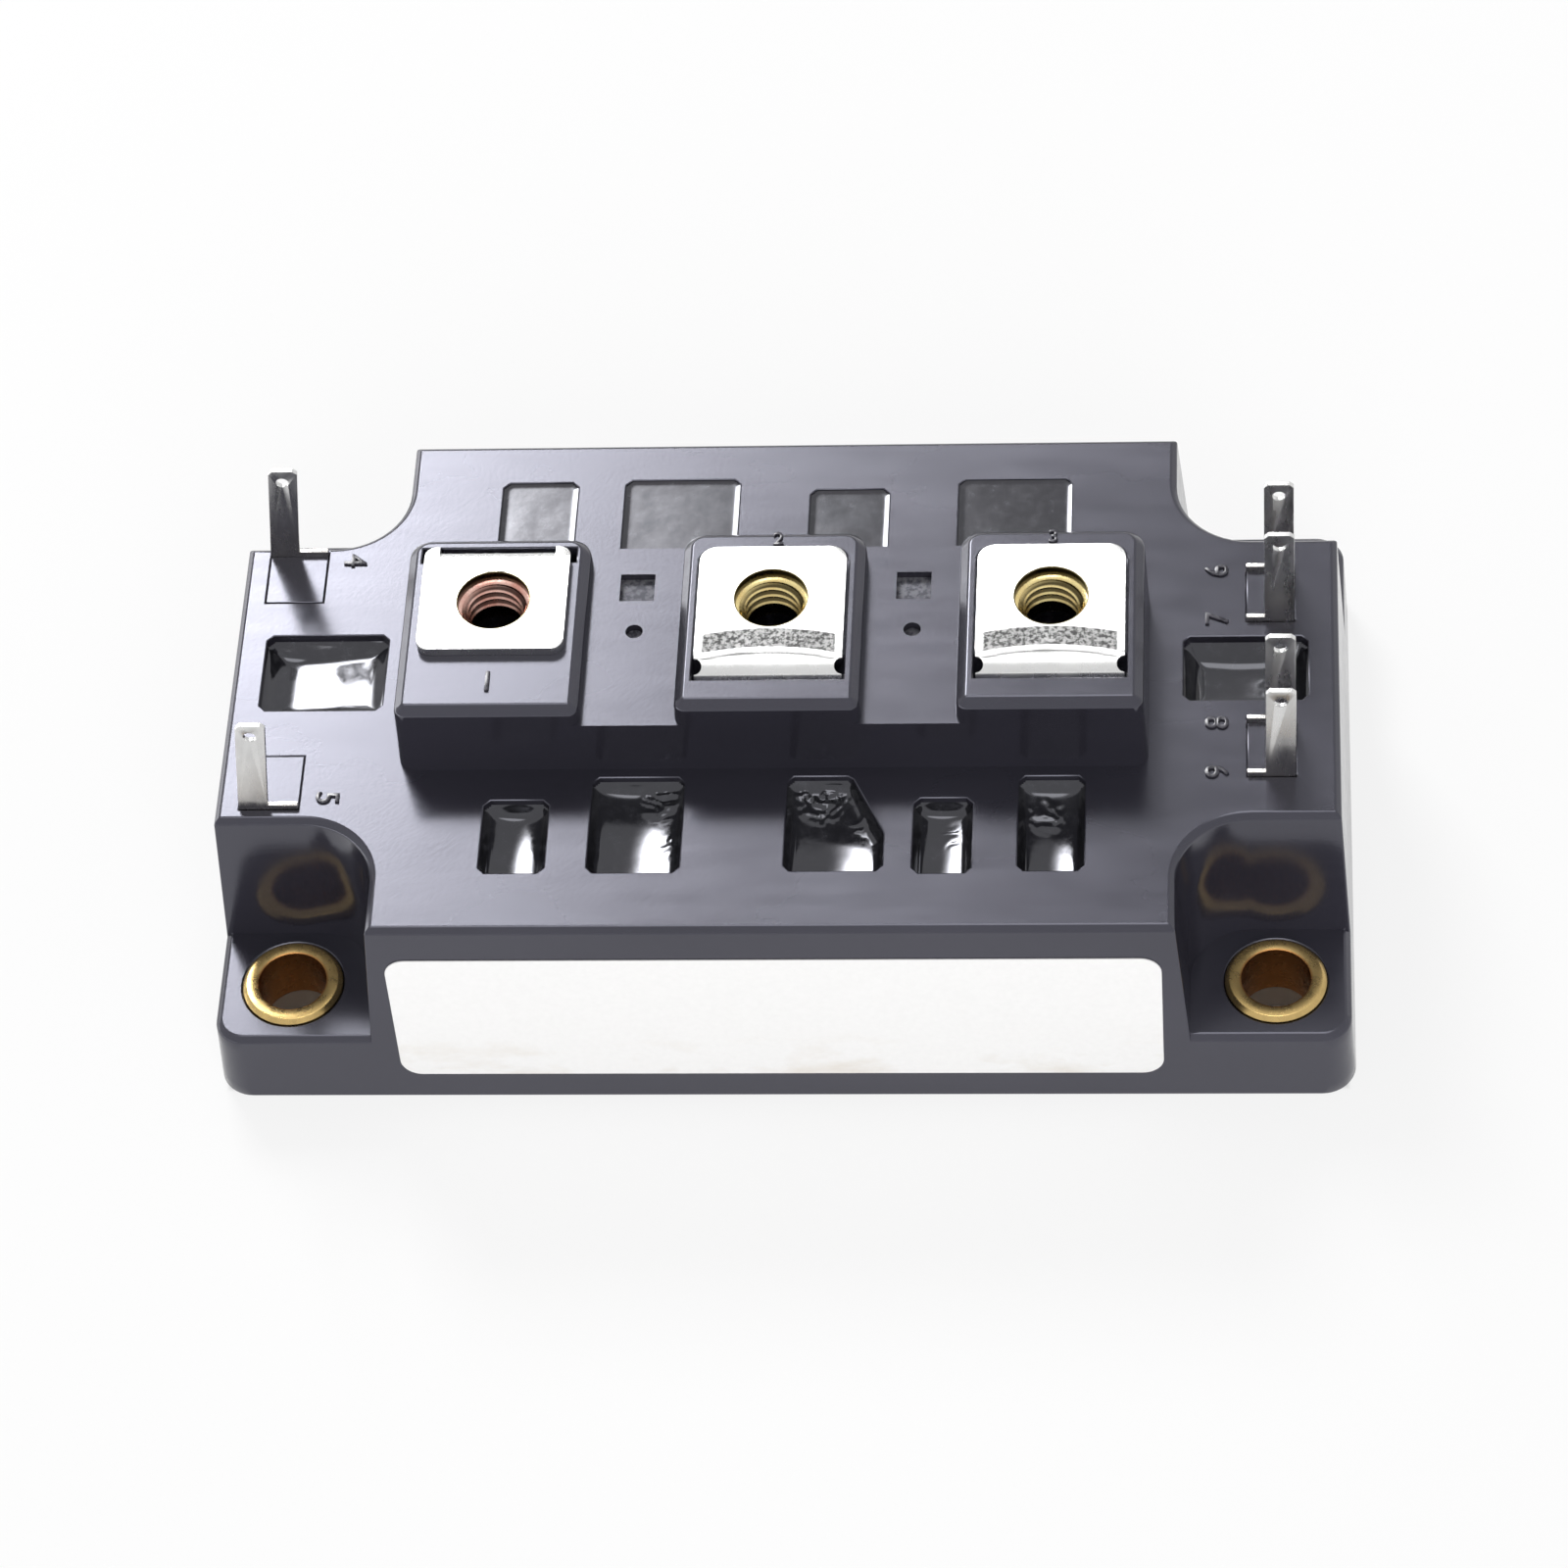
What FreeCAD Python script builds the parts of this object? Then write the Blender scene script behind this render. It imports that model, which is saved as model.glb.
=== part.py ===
"""A dual power module with screw terminals, built piece by piece.

Millimetres, +Z up. The origin is the centre of the underside, +X runs along the length,
and the labelled front face looks towards -Y.
"""
import FreeCAD
import Part

import math
import os

from collections import namedtuple
from FreeCAD import Vector

# Case
LENGTH = 108.0
WIDTH = 62.0
EAR_HEIGHT = 8.5
CASE_HEIGHT = 24.5
OUTER_DRAFT = 3.3
CORNER_RADIUS = 3.2
EDGE_BEVEL = 0.5
NOTCH_LENGTH = 15.5
NOTCH_DEPTH = 13.0
NOTCH_X = LENGTH / 2 - NOTCH_LENGTH
NOTCH_Y = WIDTH / 2 - NOTCH_DEPTH
NOTCH_DRAFT = 4.4
NOTCH_RADIUS = 5.8
WALL = 2.2
TOP_WALL = 3.0

# Mounting
HOLE_TO_END = 7.5
HOLE_TO_SIDE = 7.0
HOLE_SPACING_X = LENGTH - 2 * HOLE_TO_END
HOLE_SPACING_Y = WIDTH - 2 * HOLE_TO_SIDE
MOUNT_HOLE = 6.5
BUSH_DIAMETER = 9.6
BUSH_PROUD = 0.5
BUSH_CHAMFER = 0.4
BUSH_CLEARANCE = 0.05

# Base plate, set into the underside
BASE_THICKNESS = 3.0
BASE_MARGIN = 2.0
BASE_CORNER = 2.0

# Terminal bar and towers
TERMINAL_MARGIN = 29.4
TERMINAL_PITCH = (LENGTH - TERMINAL_MARGIN) / 3
MIDDLE_TERMINAL_X = -0.4
BAR_BACK = 11.2
BAR_FRONT = -10.8
PLATE_RISE = 9.4
PLATE_TOP = CASE_HEIGHT + PLATE_RISE
PLATE_PROUD = 0.4
TOWER_HEIGHT = PLATE_TOP - PLATE_PROUD
BRIDGE_DROP = 2.8
BRIDGE_HEIGHT = TOWER_HEIGHT - BRIDGE_DROP
TOWER_WIDTH = 18.0
BRIDGE_LENGTH = TERMINAL_PITCH - TOWER_WIDTH
TOWER_DRAFT = 2.5
TOWER_BACK_RADIUS = 2.4
TOWER_FRONT_RADIUS = 1.4
TOWER_BEVEL = 0.8
TOWER_ROOT = 1.0

# Main terminals
PLATE_THICKNESS = 1.0
PLATE_WIDTH = 13.9
PLATE_HOLE = 6.8
PLATE_CLEARANCE = 0.15
SCREW_Y = 2.1
FRONT_BENT_BACK = 8.4
FRONT_BENT_FACE = -7.2
FRONT_BEND_RADIUS = 3.0
FRONT_BENT_CORNER = 1.7
RELIEF_RADIUS = 0.75
RELIEF_ANGLE = 32.0
LEFT_PLATE_FRONT = -3.8
LEFT_PLATE_BACK = 8.7
LEFT_PLATE_CORNER = 1.2
LEFT_LEG_WIDTH = 11.0
LEFT_BEND_RADIUS = 1.6
LEFT_SLOT_BEHIND = 0.6
LEFT_SLOT_SIDE = 0.4
LEG_WIDTH = 6.0
MIDDLE_LEG_WIDTH = 4.4
NARROW_DROP = 5.5
NARROW_HEIGHT = CASE_HEIGHT - NARROW_DROP
FOOT_LENGTH = 4.5

# Nuts
NUT_FLATS = 10.0
NUT_HEIGHT = 5.0
NUT_BORE = 5.0
NUT_CHAMFER = 0.6
NUT_CLEARANCE = 0.1
SCREW_WELL = 6.4
SCREW_WELL_DEPTH = 5.0

# Small recesses in the bridges between the towers
BRIDGE_SQUARE_SHARE = 0.4
BRIDGE_SQUARE = BRIDGE_SQUARE_SHARE * BRIDGE_LENGTH
BRIDGE_SQUARE_Y = 6.1
BRIDGE_DOT_SHARE = 0.2
BRIDGE_DOT = BRIDGE_DOT_SHARE * BRIDGE_LENGTH
BRIDGE_DOT_Y = 0.75
BRIDGE_RECESS = 0.8

# Front pouring windows: left and right as shares of NOTCH_X, distance from the front face and from the bar
FRONT_WINDOWS = (
    (-0.706, -0.548, 8.1, 3.7),
    (-0.444, -0.221, 8.1, 1.1),
    (0.340, 0.481, 7.9, 3.7),
    (0.592, 0.751, 8.1, 1.2),
)
CLIPPED_WINDOW = (0.031, 0.268, 8.2, 1.1)
WINDOW_CLIP = (0.35, 0.6)

# Back pouring windows: left and right as shares of NOTCH_X, distance from the bar and from the back face
BACK_WINDOWS = (
    (-0.732, -0.543, 1.8, 6.4),
    (-0.421, -0.132, 1.8, 6.2),
    (0.049, 0.247, 1.8, 7.6),
    (0.423, 0.706, 1.8, 6.5),
)

# Side pouring windows: left and right as shares of half the length, front and back as shares of NOTCH_Y
SIDE_WINDOWS = (
    (-0.919, -0.702, -0.194, 0.311),
    (0.704, 0.920, -0.167, 0.256),
)
WINDOW_CORNER = 0.6
Window = namedtuple("Window", "x0 x1 y0 y1 clip rim_depth dish_depth")

# Resin in the windows: depth of its rim under the top of the case, and depth of its dish under the rim
FRONT_RESIN = (0.7, 1.5)
BACK_RESIN = (0.25, 0.4)
SIDE_RESIN = (0.9, 1.8)
RESIN_RIM_WIDTH = 0.3
RESIN_DISH_SLOPE = 1.2

# Signal tabs
TAB_WIDTH = 2.8
TAB_THICKNESS = 0.5
TAB_RISE = 12.5
TAB_TIP = CASE_HEIGHT + TAB_RISE
TAB_TIP_CHAMFER = 0.4
TAB_HOLE = 1.2
TAB_HOLE_DROP = 1.6
TAB_SHOULDER = 0.6
TAB_LEG_WIDTH = 2.0
TAB_LEG_DROP = 6.5
TAB_LEG_HEIGHT = CASE_HEIGHT - TAB_LEG_DROP
TAB_ARM_HEIGHT = 8.0
TAB_ARM_WIDTH = 2.0
TAB_FOOT_DEPTH = 2.0
LEFT_TAB_TO_END = 5.1
LEFT_TAB_X = LENGTH / 2 - LEFT_TAB_TO_END
LEFT_TAB_WING = 2.8
LEFT_TAB_LEAN = 1.3
RIGHT_TAB_TO_END = 6.95
RIGHT_TAB_X = LENGTH / 2 - RIGHT_TAB_TO_END
RIGHT_TAB_WING = 1.7

# Tab places: name, Y as a share of NOTCH_Y, side of the foot
LEFT_TAB_PLACES = (("left_back", 0.878, -1), ("left_front", -0.839, 1))
RIGHT_TAB_PLACES = (
    ("right_1", 0.717, -1),
    ("right_2", 0.372, 1),
    ("right_3", -0.306, -1),
    ("right_4", -0.661, 1),
)
LEFT_BLOCK_DEPTH = 5.8
BLOCK_BELOW = 2.0

# Circuit: ceramic tiles, copper, chips
TILE_GAP = 2.4
TILE_TO_WALL = 2.1
TILE_LENGTH = NOTCH_X - WALL - TILE_TO_WALL
TILE_TO_SIDE = 9.0
TILE_WIDTH = WIDTH - 2 * TILE_TO_SIDE
BACKING_THICKNESS = 0.3
CERAMIC_THICKNESS = 0.65
COPPER_THICKNESS = 0.3
COPPER_MARGIN = 0.8
PAD_SIZE = 2.6
ISLAND_GAP = 1.0
SIDE_ISLAND_SHARE = 0.3
SIDE_ISLAND_LENGTH = SIDE_ISLAND_SHARE * TILE_LENGTH
MAIN_ISLAND_START = COPPER_MARGIN + SIDE_ISLAND_LENGTH + ISLAND_GAP
MAIN_ISLAND_LENGTH = TILE_LENGTH - COPPER_MARGIN - PAD_SIZE - ISLAND_GAP - MAIN_ISLAND_START
CHIP_THICKNESS = 0.4
TRANSISTOR_SIZE = 12.0
DIODE_SIZE = 7.5
CHIP_MARGIN = 1.0
CHIP_X = TILE_GAP / 2 + MAIN_ISLAND_START + CHIP_MARGIN + TRANSISTOR_SIZE / 2
LEFT_TRANSISTOR_Y = -5.0
RIGHT_TRANSISTOR_Y = 4.5
DIODE_Y = -16.5
STRAP_WIDTH = 1.2
STRAP_THICKNESS = 0.25
STRAP_PITCH = 2.4
STRAP_INSET = 1.5
STRAP_RISE = 1.6
STRAP_FOOT = 1.0
TRANSISTOR_STRAPS = 4
DIODE_STRAPS = 2
LINK_WIDTH = 6.0
LINK_THICKNESS = 0.8
LINK_TO_EDGE = 1.2
LINK_Y = TILE_WIDTH / 2 - COPPER_MARGIN - LINK_TO_EDGE - LINK_WIDTH / 2
LINK_HEIGHT = 9.0
LINK_FOOT = 2.6
LINK_BEND_RADIUS = 1.6

# Fill levels
GEL_LEVEL = 12.0

# Label
LABEL_TO_NOTCH = 2.5
LABEL_LENGTH = 2 * (NOTCH_X - LABEL_TO_NOTCH)
LABEL_BOTTOM = 3.5
LABEL_TO_TOP = 4.2
LABEL_HEIGHT = CASE_HEIGHT - LABEL_BOTTOM - LABEL_TO_TOP
LABEL_RADIUS = 2.0
LABEL_THICKNESS = 0.15

SEAT = PLATE_TOP - PLATE_THICKNESS
CEILING = CASE_HEIGHT - TOP_WALL
TILE_BOTTOM = BASE_THICKNESS + BACKING_THICKNESS
TILE_TOP = TILE_BOTTOM + CERAMIC_THICKNESS
ISLAND_TOP = TILE_TOP + COPPER_THICKNESS
CHIP_TOP = ISLAND_TOP + CHIP_THICKNESS
OUT = 2.0


def box(x0, x1, y0, y1, z0, z1):
    return Part.makeBox(x1 - x0, y1 - y0, z1 - z0, Vector(x0, y0, z0))


def level(z):
    """Place outline points in the horizontal plane at height z."""
    return lambda u, v: Vector(u, v, z)


def upright(y):
    """Place outline points in the upright plane across Y."""
    return lambda u, v: Vector(u, y, v)


def arms(corners, index):
    """Directions from a corner to its two neighbours and between them, and half the angle they enclose."""
    here, last, following = corners[index], corners[index - 1], corners[(index + 1) % len(corners)]
    before = Vector(last[0] - here[0], last[1] - here[1], 0)
    after = Vector(following[0] - here[0], following[1] - here[1], 0)
    half = before.getAngle(after) / 2
    before.normalize()
    after.normalize()
    middle = before + after
    middle.normalize()
    return before, after, middle, half


def rounding(corners):
    """Start, arc middle, end and centre of the round at each corner (u, v, radius)."""
    rounds = []
    for index, (u, v, radius) in enumerate(corners):
        corner = Vector(u, v, 0)
        if radius == 0:
            rounds.append((corner, None, corner, None))
            continue
        before, after, middle, half = arms(corners, index)
        reach = radius / math.tan(half)
        centre = radius / math.sin(half)
        rounds.append((corner + before * reach, corner + middle * (centre - radius),
                       corner + after * reach, corner + middle * centre))
    return rounds


def outline(corners, place):
    """Closed wire through corners (u, v, radius), each rounded by its radius."""
    rounds = rounding(corners)
    edges = []
    for index, (start, middle, end, _) in enumerate(rounds):
        if middle:
            edges.append(Part.Arc(*[place(p.x, p.y) for p in (start, middle, end)]).toShape())
        following = rounds[(index + 1) % len(rounds)][0]
        edges.append(Part.makeLine(place(end.x, end.y), place(following.x, following.y)))
    return Part.Wire(edges)


def inset(corners, distance, radius):
    """The same convex outline with every side moved inwards and all its corners given one radius."""
    moved = []
    for index, (u, v, _) in enumerate(corners):
        _, _, middle, half = arms(corners, index)
        step = middle * (distance / math.sin(half))
        moved.append((u + step.x, v + step.y, radius))
    return moved


def clipped(corners):
    """The same outline with a straight cut in place of each round."""
    points = []
    for start, _, end, _ in rounding(corners):
        points += [(start.x, start.y, 0), (end.x, end.y, 0)]
    return points


def rectangle(x0, x1, y0, y1, front_radius, back_radius=None):
    back = front_radius if back_radius is None else back_radius
    return ((x0, y0, front_radius), (x1, y0, front_radius), (x1, y1, back), (x0, y1, back))


def tapered(lower, z0, upper, z1):
    """Solid between two outlines whose rounds share their centres, so that its corners are cones."""
    faces = [Part.Face(outline(lower, level(z0))), Part.Face(outline(upper, level(z1)))]
    lows, highs = rounding(lower), rounding(upper)
    count = len(lows)
    low, high = Vector(0, 0, z0), Vector(0, 0, z1)
    for index in range(count):
        start, middle, end, centre = lows[index]
        if middle:
            turn = math.degrees((start - centre).getAngle(end - centre))
            if (start - centre).cross(end - centre).z < 0:
                turn = -turn
            side = Part.makeLine(start + low, highs[index][0] + high)
            faces.append(side.revolve(centre, Vector(0, 0, 1), turn))
        after = (index + 1) % count
        corners = [end + low, lows[after][0] + low, highs[after][0] + high, highs[index][2] + high]
        faces.append(Part.Face(Part.makePolygon(corners + corners[:1])))
    shell = Part.makeShell(faces)
    shell.sewShape()
    solid = Part.makeSolid(shell)
    if solid.Volume < 0:
        solid.reverse()
    return solid


def upright_prism(corners, z, height):
    return Part.Face(outline(corners, level(z))).extrude(Vector(0, 0, height))


def edges_at(shape, z):
    """Edges that lie in the horizontal plane at height z."""
    return [edge for edge in shape.Edges
            if abs(edge.BoundBox.ZMin - z) < 1e-4 and abs(edge.BoundBox.ZMax - z) < 1e-4]


def fused(shapes):
    first, rest = shapes[0], list(shapes[1:])
    return first.fuse(rest).removeSplitter() if rest else first


def shrink(z, draft):
    return z * math.tan(math.radians(draft))


def terminal_x(index):
    """Centre of a terminal: 0 is left, 1 is middle, 2 is right."""
    return MIDDLE_TERMINAL_X + (index - 1) * TERMINAL_PITCH


def bush_places():
    for depth, y in (("front", -HOLE_SPACING_Y / 2), ("back", HOLE_SPACING_Y / 2)):
        for side, x in (("left", -HOLE_SPACING_X / 2), ("right", HOLE_SPACING_X / 2)):
            yield depth + "_" + side, x, y


# Case

def case_half(z, wall=0.0):
    """Half length and half width of the drafted outer walls at height z, or a wall inside them."""
    loss = shrink(z, OUTER_DRAFT) + wall
    return LENGTH / 2 - loss, WIDTH / 2 - loss


def notch_corner(z, wall=0.0):
    """Corner of the drafted body between two notches at height z, or a wall inside it."""
    loss = shrink(z - EAR_HEIGHT, NOTCH_DRAFT) + wall
    return NOTCH_X - loss, NOTCH_Y - loss


def case_block():
    levels = []
    for z in (0.0, CASE_HEIGHT):
        half_x, half_y = case_half(z)
        radius = CORNER_RADIUS - shrink(z, OUTER_DRAFT)
        levels += [rectangle(-half_x, half_x, -half_y, half_y, radius), z]
    return tapered(*levels)


def notch_cutter(side_x, side_y):
    levels = []
    for z in (EAR_HEIGHT, CASE_HEIGHT + OUT):
        x, y = notch_corner(z)
        radius = NOTCH_RADIUS + shrink(z - EAR_HEIGHT, NOTCH_DRAFT)
        corners = ((side_x * x, side_y * y, radius),
                   (side_x * LENGTH, side_y * y, 0),
                   (side_x * LENGTH, side_y * WIDTH, 0),
                   (side_x * x, side_y * WIDTH, 0))
        levels += [corners, z]
    return tapered(*levels)


def case_body():
    notches = [notch_cutter(sx, sy) for sx in (-1, 1) for sy in (-1, 1)]
    body = case_block().cut(notches)
    rims = edges_at(body, CASE_HEIGHT)
    half_x, half_y = case_half(EAR_HEIGHT)
    near_side = CORNER_RADIUS / 2
    for edge in edges_at(body, EAR_HEIGHT):
        middle = edge.CenterOfMass
        if abs(middle.x) > half_x - near_side or abs(middle.y) > half_y - near_side:
            rims.append(edge)
    return body.makeChamfer(EDGE_BEVEL, rims)


def cavity():
    """The hollow of the case above the base plate, one wall inside the outer faces."""
    levels = []
    for z in (BASE_THICKNESS, CEILING):
        half_x, half_y = case_half(z, WALL)
        x, y = notch_corner(z, WALL)
        quarter = ((half_x, y, 0), (x, y, 0), (x, half_y, 0))
        corners = list(quarter)
        corners += [(-u, v, r) for u, v, r in reversed(quarter)]
        corners += [(-u, -v, r) for u, v, r in quarter]
        corners += [(u, -v, r) for u, v, r in reversed(quarter)]
        levels += [corners, z]
    return tapered(*levels)


def bar_levels(x0, x1, top, front_radius, back_radius):
    """Outlines of a drafted block of the terminal bar, from its root in the case to its top."""
    levels = []
    for z in (CASE_HEIGHT - TOWER_ROOT, top):
        loss = shrink(z - CASE_HEIGHT, TOWER_DRAFT)
        front = front_radius - loss if front_radius else 0
        back = back_radius - loss if back_radius else 0
        side = loss if front_radius else 0
        levels += [rectangle(x0 + side, x1 - side, BAR_FRONT + loss, BAR_BACK - loss, front, back), z]
    return levels


def tower(index, top):
    x = terminal_x(index)
    half = TOWER_WIDTH / 2
    block = tapered(*bar_levels(x - half, x + half, top, TOWER_FRONT_RADIUS, TOWER_BACK_RADIUS))
    return block.makeChamfer(TOWER_BEVEL, edges_at(block, top))


def bridge():
    """The lower block that joins the three towers."""
    return tapered(*bar_levels(terminal_x(0), terminal_x(2), BRIDGE_HEIGHT, 0, 0))


def bridge_recesses():
    cutters = []
    floor = BRIDGE_HEIGHT - BRIDGE_RECESS
    for x in ((terminal_x(0) + terminal_x(1)) / 2, (terminal_x(1) + terminal_x(2)) / 2):
        half = BRIDGE_SQUARE / 2
        cutters.append(box(x - half, x + half, BRIDGE_SQUARE_Y - half, BRIDGE_SQUARE_Y + half,
                           floor, BRIDGE_HEIGHT + OUT))
        cutters.append(Part.makeCylinder(BRIDGE_DOT / 2, BRIDGE_RECESS + OUT,
                                         Vector(x, BRIDGE_DOT_Y, floor)))
    return cutters


def hexagon(x, z0, height, flats):
    corners = []
    for step in range(6):
        angle = math.radians(60 * step)
        reach = flats / math.sqrt(3)
        corners.append((x + reach * math.cos(angle), SCREW_Y + reach * math.sin(angle), 0))
    return upright_prism(corners, z0, height)


def nut_wells(index):
    """The hexagon pocket of a nut and the round well for the end of its screw."""
    x = terminal_x(index)
    floor = SEAT - NUT_HEIGHT
    pocket = hexagon(x, floor, NUT_HEIGHT + OUT, NUT_FLATS + 2 * NUT_CLEARANCE)
    well_floor = Vector(x, SCREW_Y, floor - SCREW_WELL_DEPTH)
    well = Part.makeCylinder(SCREW_WELL / 2, SCREW_WELL_DEPTH + OUT, well_floor)
    return [pocket, well]


def front_bent_room(index):
    """Recess of a front-bent plate, the hollow under its bend and the slot of its leg."""
    x = terminal_x(index)
    half = PLATE_WIDTH / 2 + PLATE_CLEARANCE
    front = FRONT_BENT_FACE - PLATE_CLEARANCE
    leg_back = FRONT_BENT_FACE + PLATE_THICKNESS + PLATE_CLEARANCE
    bend_back = FRONT_BENT_FACE + FRONT_BEND_RADIUS
    corner = FRONT_BENT_CORNER + PLATE_CLEARANCE
    plan = rectangle(x - half, x + half, front, FRONT_BENT_BACK + PLATE_CLEARANCE, 0, corner)
    recess = upright_prism(plan, SEAT, OUT)
    hollow = box(x - half, x + half, front, bend_back, PLATE_TOP - FRONT_BEND_RADIUS, SEAT)
    slot = box(x - half, x + half, front, leg_back, CEILING - OUT, SEAT)
    return [recess, hollow, slot]


def left_bent_room():
    """The slot through which the left terminal comes up behind its nut."""
    x = terminal_x(0)
    half = PLATE_WIDTH / 2 + LEFT_SLOT_SIDE
    front = LEFT_PLATE_BACK - PLATE_THICKNESS - PLATE_CLEARANCE
    bend_front = LEFT_PLATE_BACK - LEFT_BEND_RADIUS
    bend_half = LEFT_LEG_WIDTH / 2 + PLATE_CLEARANCE
    slot = box(x - half, x + half, front, LEFT_PLATE_BACK + LEFT_SLOT_BEHIND, CEILING - OUT, PLATE_TOP)
    hollow = box(x - bend_half, x + bend_half, bend_front, front, PLATE_TOP - LEFT_BEND_RADIUS, PLATE_TOP)
    return [slot, hollow]


def windows():
    """Each pouring window: its place, its clipped corner or None, and how deep its resin lies."""
    places = []
    for row, clip in ((FRONT_WINDOWS, None), ((CLIPPED_WINDOW,), WINDOW_CLIP)):
        for left, right, to_front, to_bar in row:
            places.append(Window(left * NOTCH_X, right * NOTCH_X, to_front - WIDTH / 2, BAR_FRONT - to_bar,
                                 clip, *FRONT_RESIN))
    for left, right, to_bar, to_back in BACK_WINDOWS:
        places.append(Window(left * NOTCH_X, right * NOTCH_X, BAR_BACK + to_bar, WIDTH / 2 - to_back,
                             None, *BACK_RESIN))
    for left, right, front, back in SIDE_WINDOWS:
        places.append(Window(left * LENGTH / 2, right * LENGTH / 2, front * NOTCH_Y, back * NOTCH_Y,
                             None, *SIDE_RESIN))
    return places


def window_outline(window, distance, radius):
    """Outline of a window, moved inwards by a distance."""
    x0, x1, y0, y1 = window.x0, window.x1, window.y0, window.y1
    corners = list(rectangle(x0, x1, y0, y1, 0))
    if window.clip:
        share_x, share_y = window.clip
        corners[2:3] = [(x1, y1 - share_y * (y1 - y0), 0), (x1 - share_x * (x1 - x0), y1, 0)]
    return inset(corners, distance, radius)


def window_prism(window, z0, z1):
    return upright_prism(clipped(window_outline(window, 0, WINDOW_CORNER)), z0, z1 - z0)


def base_outline():
    half_x, half_y = LENGTH / 2 - BASE_MARGIN, WIDTH / 2 - BASE_MARGIN
    return rectangle(-half_x, half_x, -half_y, half_y, BASE_CORNER)


def base_room():
    """The shallow pocket in the underside that takes the base plate."""
    return upright_prism(base_outline(), -OUT, BASE_THICKNESS + OUT)


def housing(tabs, blocks):
    towers = [tower(0, SEAT), tower(1, TOWER_HEIGHT), tower(2, TOWER_HEIGHT)]
    body = case_body().fuse([bridge()] + towers).removeSplitter()
    cutters = [cavity(), base_room()]
    cutters += bridge_recesses()
    cutters += left_bent_room()
    for index in (1, 2):
        cutters += front_bent_room(index)
    for index in (0, 1, 2):
        cutters += nut_wells(index)
    for window in windows():
        cutters.append(window_prism(window, CEILING - OUT, CASE_HEIGHT + OUT))
    for _, x, y in bush_places():
        seat = Vector(x, y, BASE_THICKNESS)
        cutters.append(Part.makeCylinder(BUSH_DIAMETER / 2 + BUSH_CLEARANCE, EAR_HEIGHT, seat))
    return body.cut(cutters + list(blocks.values()) + list(tabs.values()))


# Mounting

def base_plate():
    plate = upright_prism(base_outline(), 0, BASE_THICKNESS)
    holes = []
    for _, x, y in bush_places():
        holes.append(Part.makeCylinder(MOUNT_HOLE / 2, BASE_THICKNESS, Vector(x, y, 0)))
    return plate.cut(holes)


def bush(x, y):
    height = EAR_HEIGHT + BUSH_PROUD - BASE_THICKNESS
    foot = Vector(x, y, BASE_THICKNESS)
    tube = Part.makeCylinder(BUSH_DIAMETER / 2, height, foot)
    tube = tube.cut(Part.makeCylinder(MOUNT_HOLE / 2, height, foot))
    rim = [edge for edge in edges_at(tube, EAR_HEIGHT + BUSH_PROUD) if edge.Curve.Radius > MOUNT_HOLE / 2]
    return tube.makeChamfer(BUSH_CHAMFER, rim)


# Nuts

def nut(index):
    x = terminal_x(index)
    floor = SEAT - NUT_HEIGHT
    centre = Vector(x, SCREW_Y, floor)
    body = hexagon(x, floor, NUT_HEIGHT, NUT_FLATS)
    reach = NUT_FLATS / math.sqrt(3)
    rise = (reach - NUT_FLATS / 2) * math.tan(math.radians(30))
    straight = NUT_HEIGHT - rise
    cone = Part.makeCone(reach, NUT_FLATS / 2, rise, centre + Vector(0, 0, straight))
    crown = Part.makeCylinder(reach, straight, centre).fuse(cone)
    bore = Part.makeCylinder(NUT_BORE / 2, NUT_HEIGHT, centre)
    mouth = Part.makeCone(NUT_BORE / 2, NUT_BORE / 2 + NUT_CHAMFER, NUT_CHAMFER,
                          centre + Vector(0, 0, NUT_HEIGHT - NUT_CHAMFER))
    return body.common(crown).cut([bore, mouth])


# Main terminals

def bent_section(face, away, bend_radius, flat_end, leg_end):
    """Outline in Y and Z of a strip that lies flat on top and turns down at one end.

    face is the outer side of the leg, and away is +1 or -1, pointing from the leg to the flat.
    """
    inner = bend_radius - PLATE_THICKNESS
    corners = [(flat_end, PLATE_TOP, 0), (face, PLATE_TOP, bend_radius), (face, leg_end, 0),
               (face + away * PLATE_THICKNESS, leg_end, 0),
               (face + away * PLATE_THICKNESS, SEAT, inner), (flat_end, SEAT, 0)]
    return corners


def strip_across(corners, x0, x1):
    """A strip with the given Y and Z outline, from x0 to x1."""
    wire = outline(corners, lambda u, v: Vector(x0, u, v))
    return Part.Face(wire).extrude(Vector(x1 - x0, 0, 0))


def screw_hole(x):
    return Part.makeCylinder(PLATE_HOLE / 2, PLATE_THICKNESS + 2 * OUT, Vector(x, SCREW_Y, SEAT - OUT))


def foot_box(x0, x1, leg_face, away):
    """The soldered foot, which runs from the leg away from the flat plate."""
    far = leg_face - away * (FOOT_LENGTH - PLATE_THICKNESS)
    near = leg_face + away * PLATE_THICKNESS
    return box(x0, x1, min(far, near), max(far, near), ISLAND_TOP, ISLAND_TOP + PLATE_THICKNESS)


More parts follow.
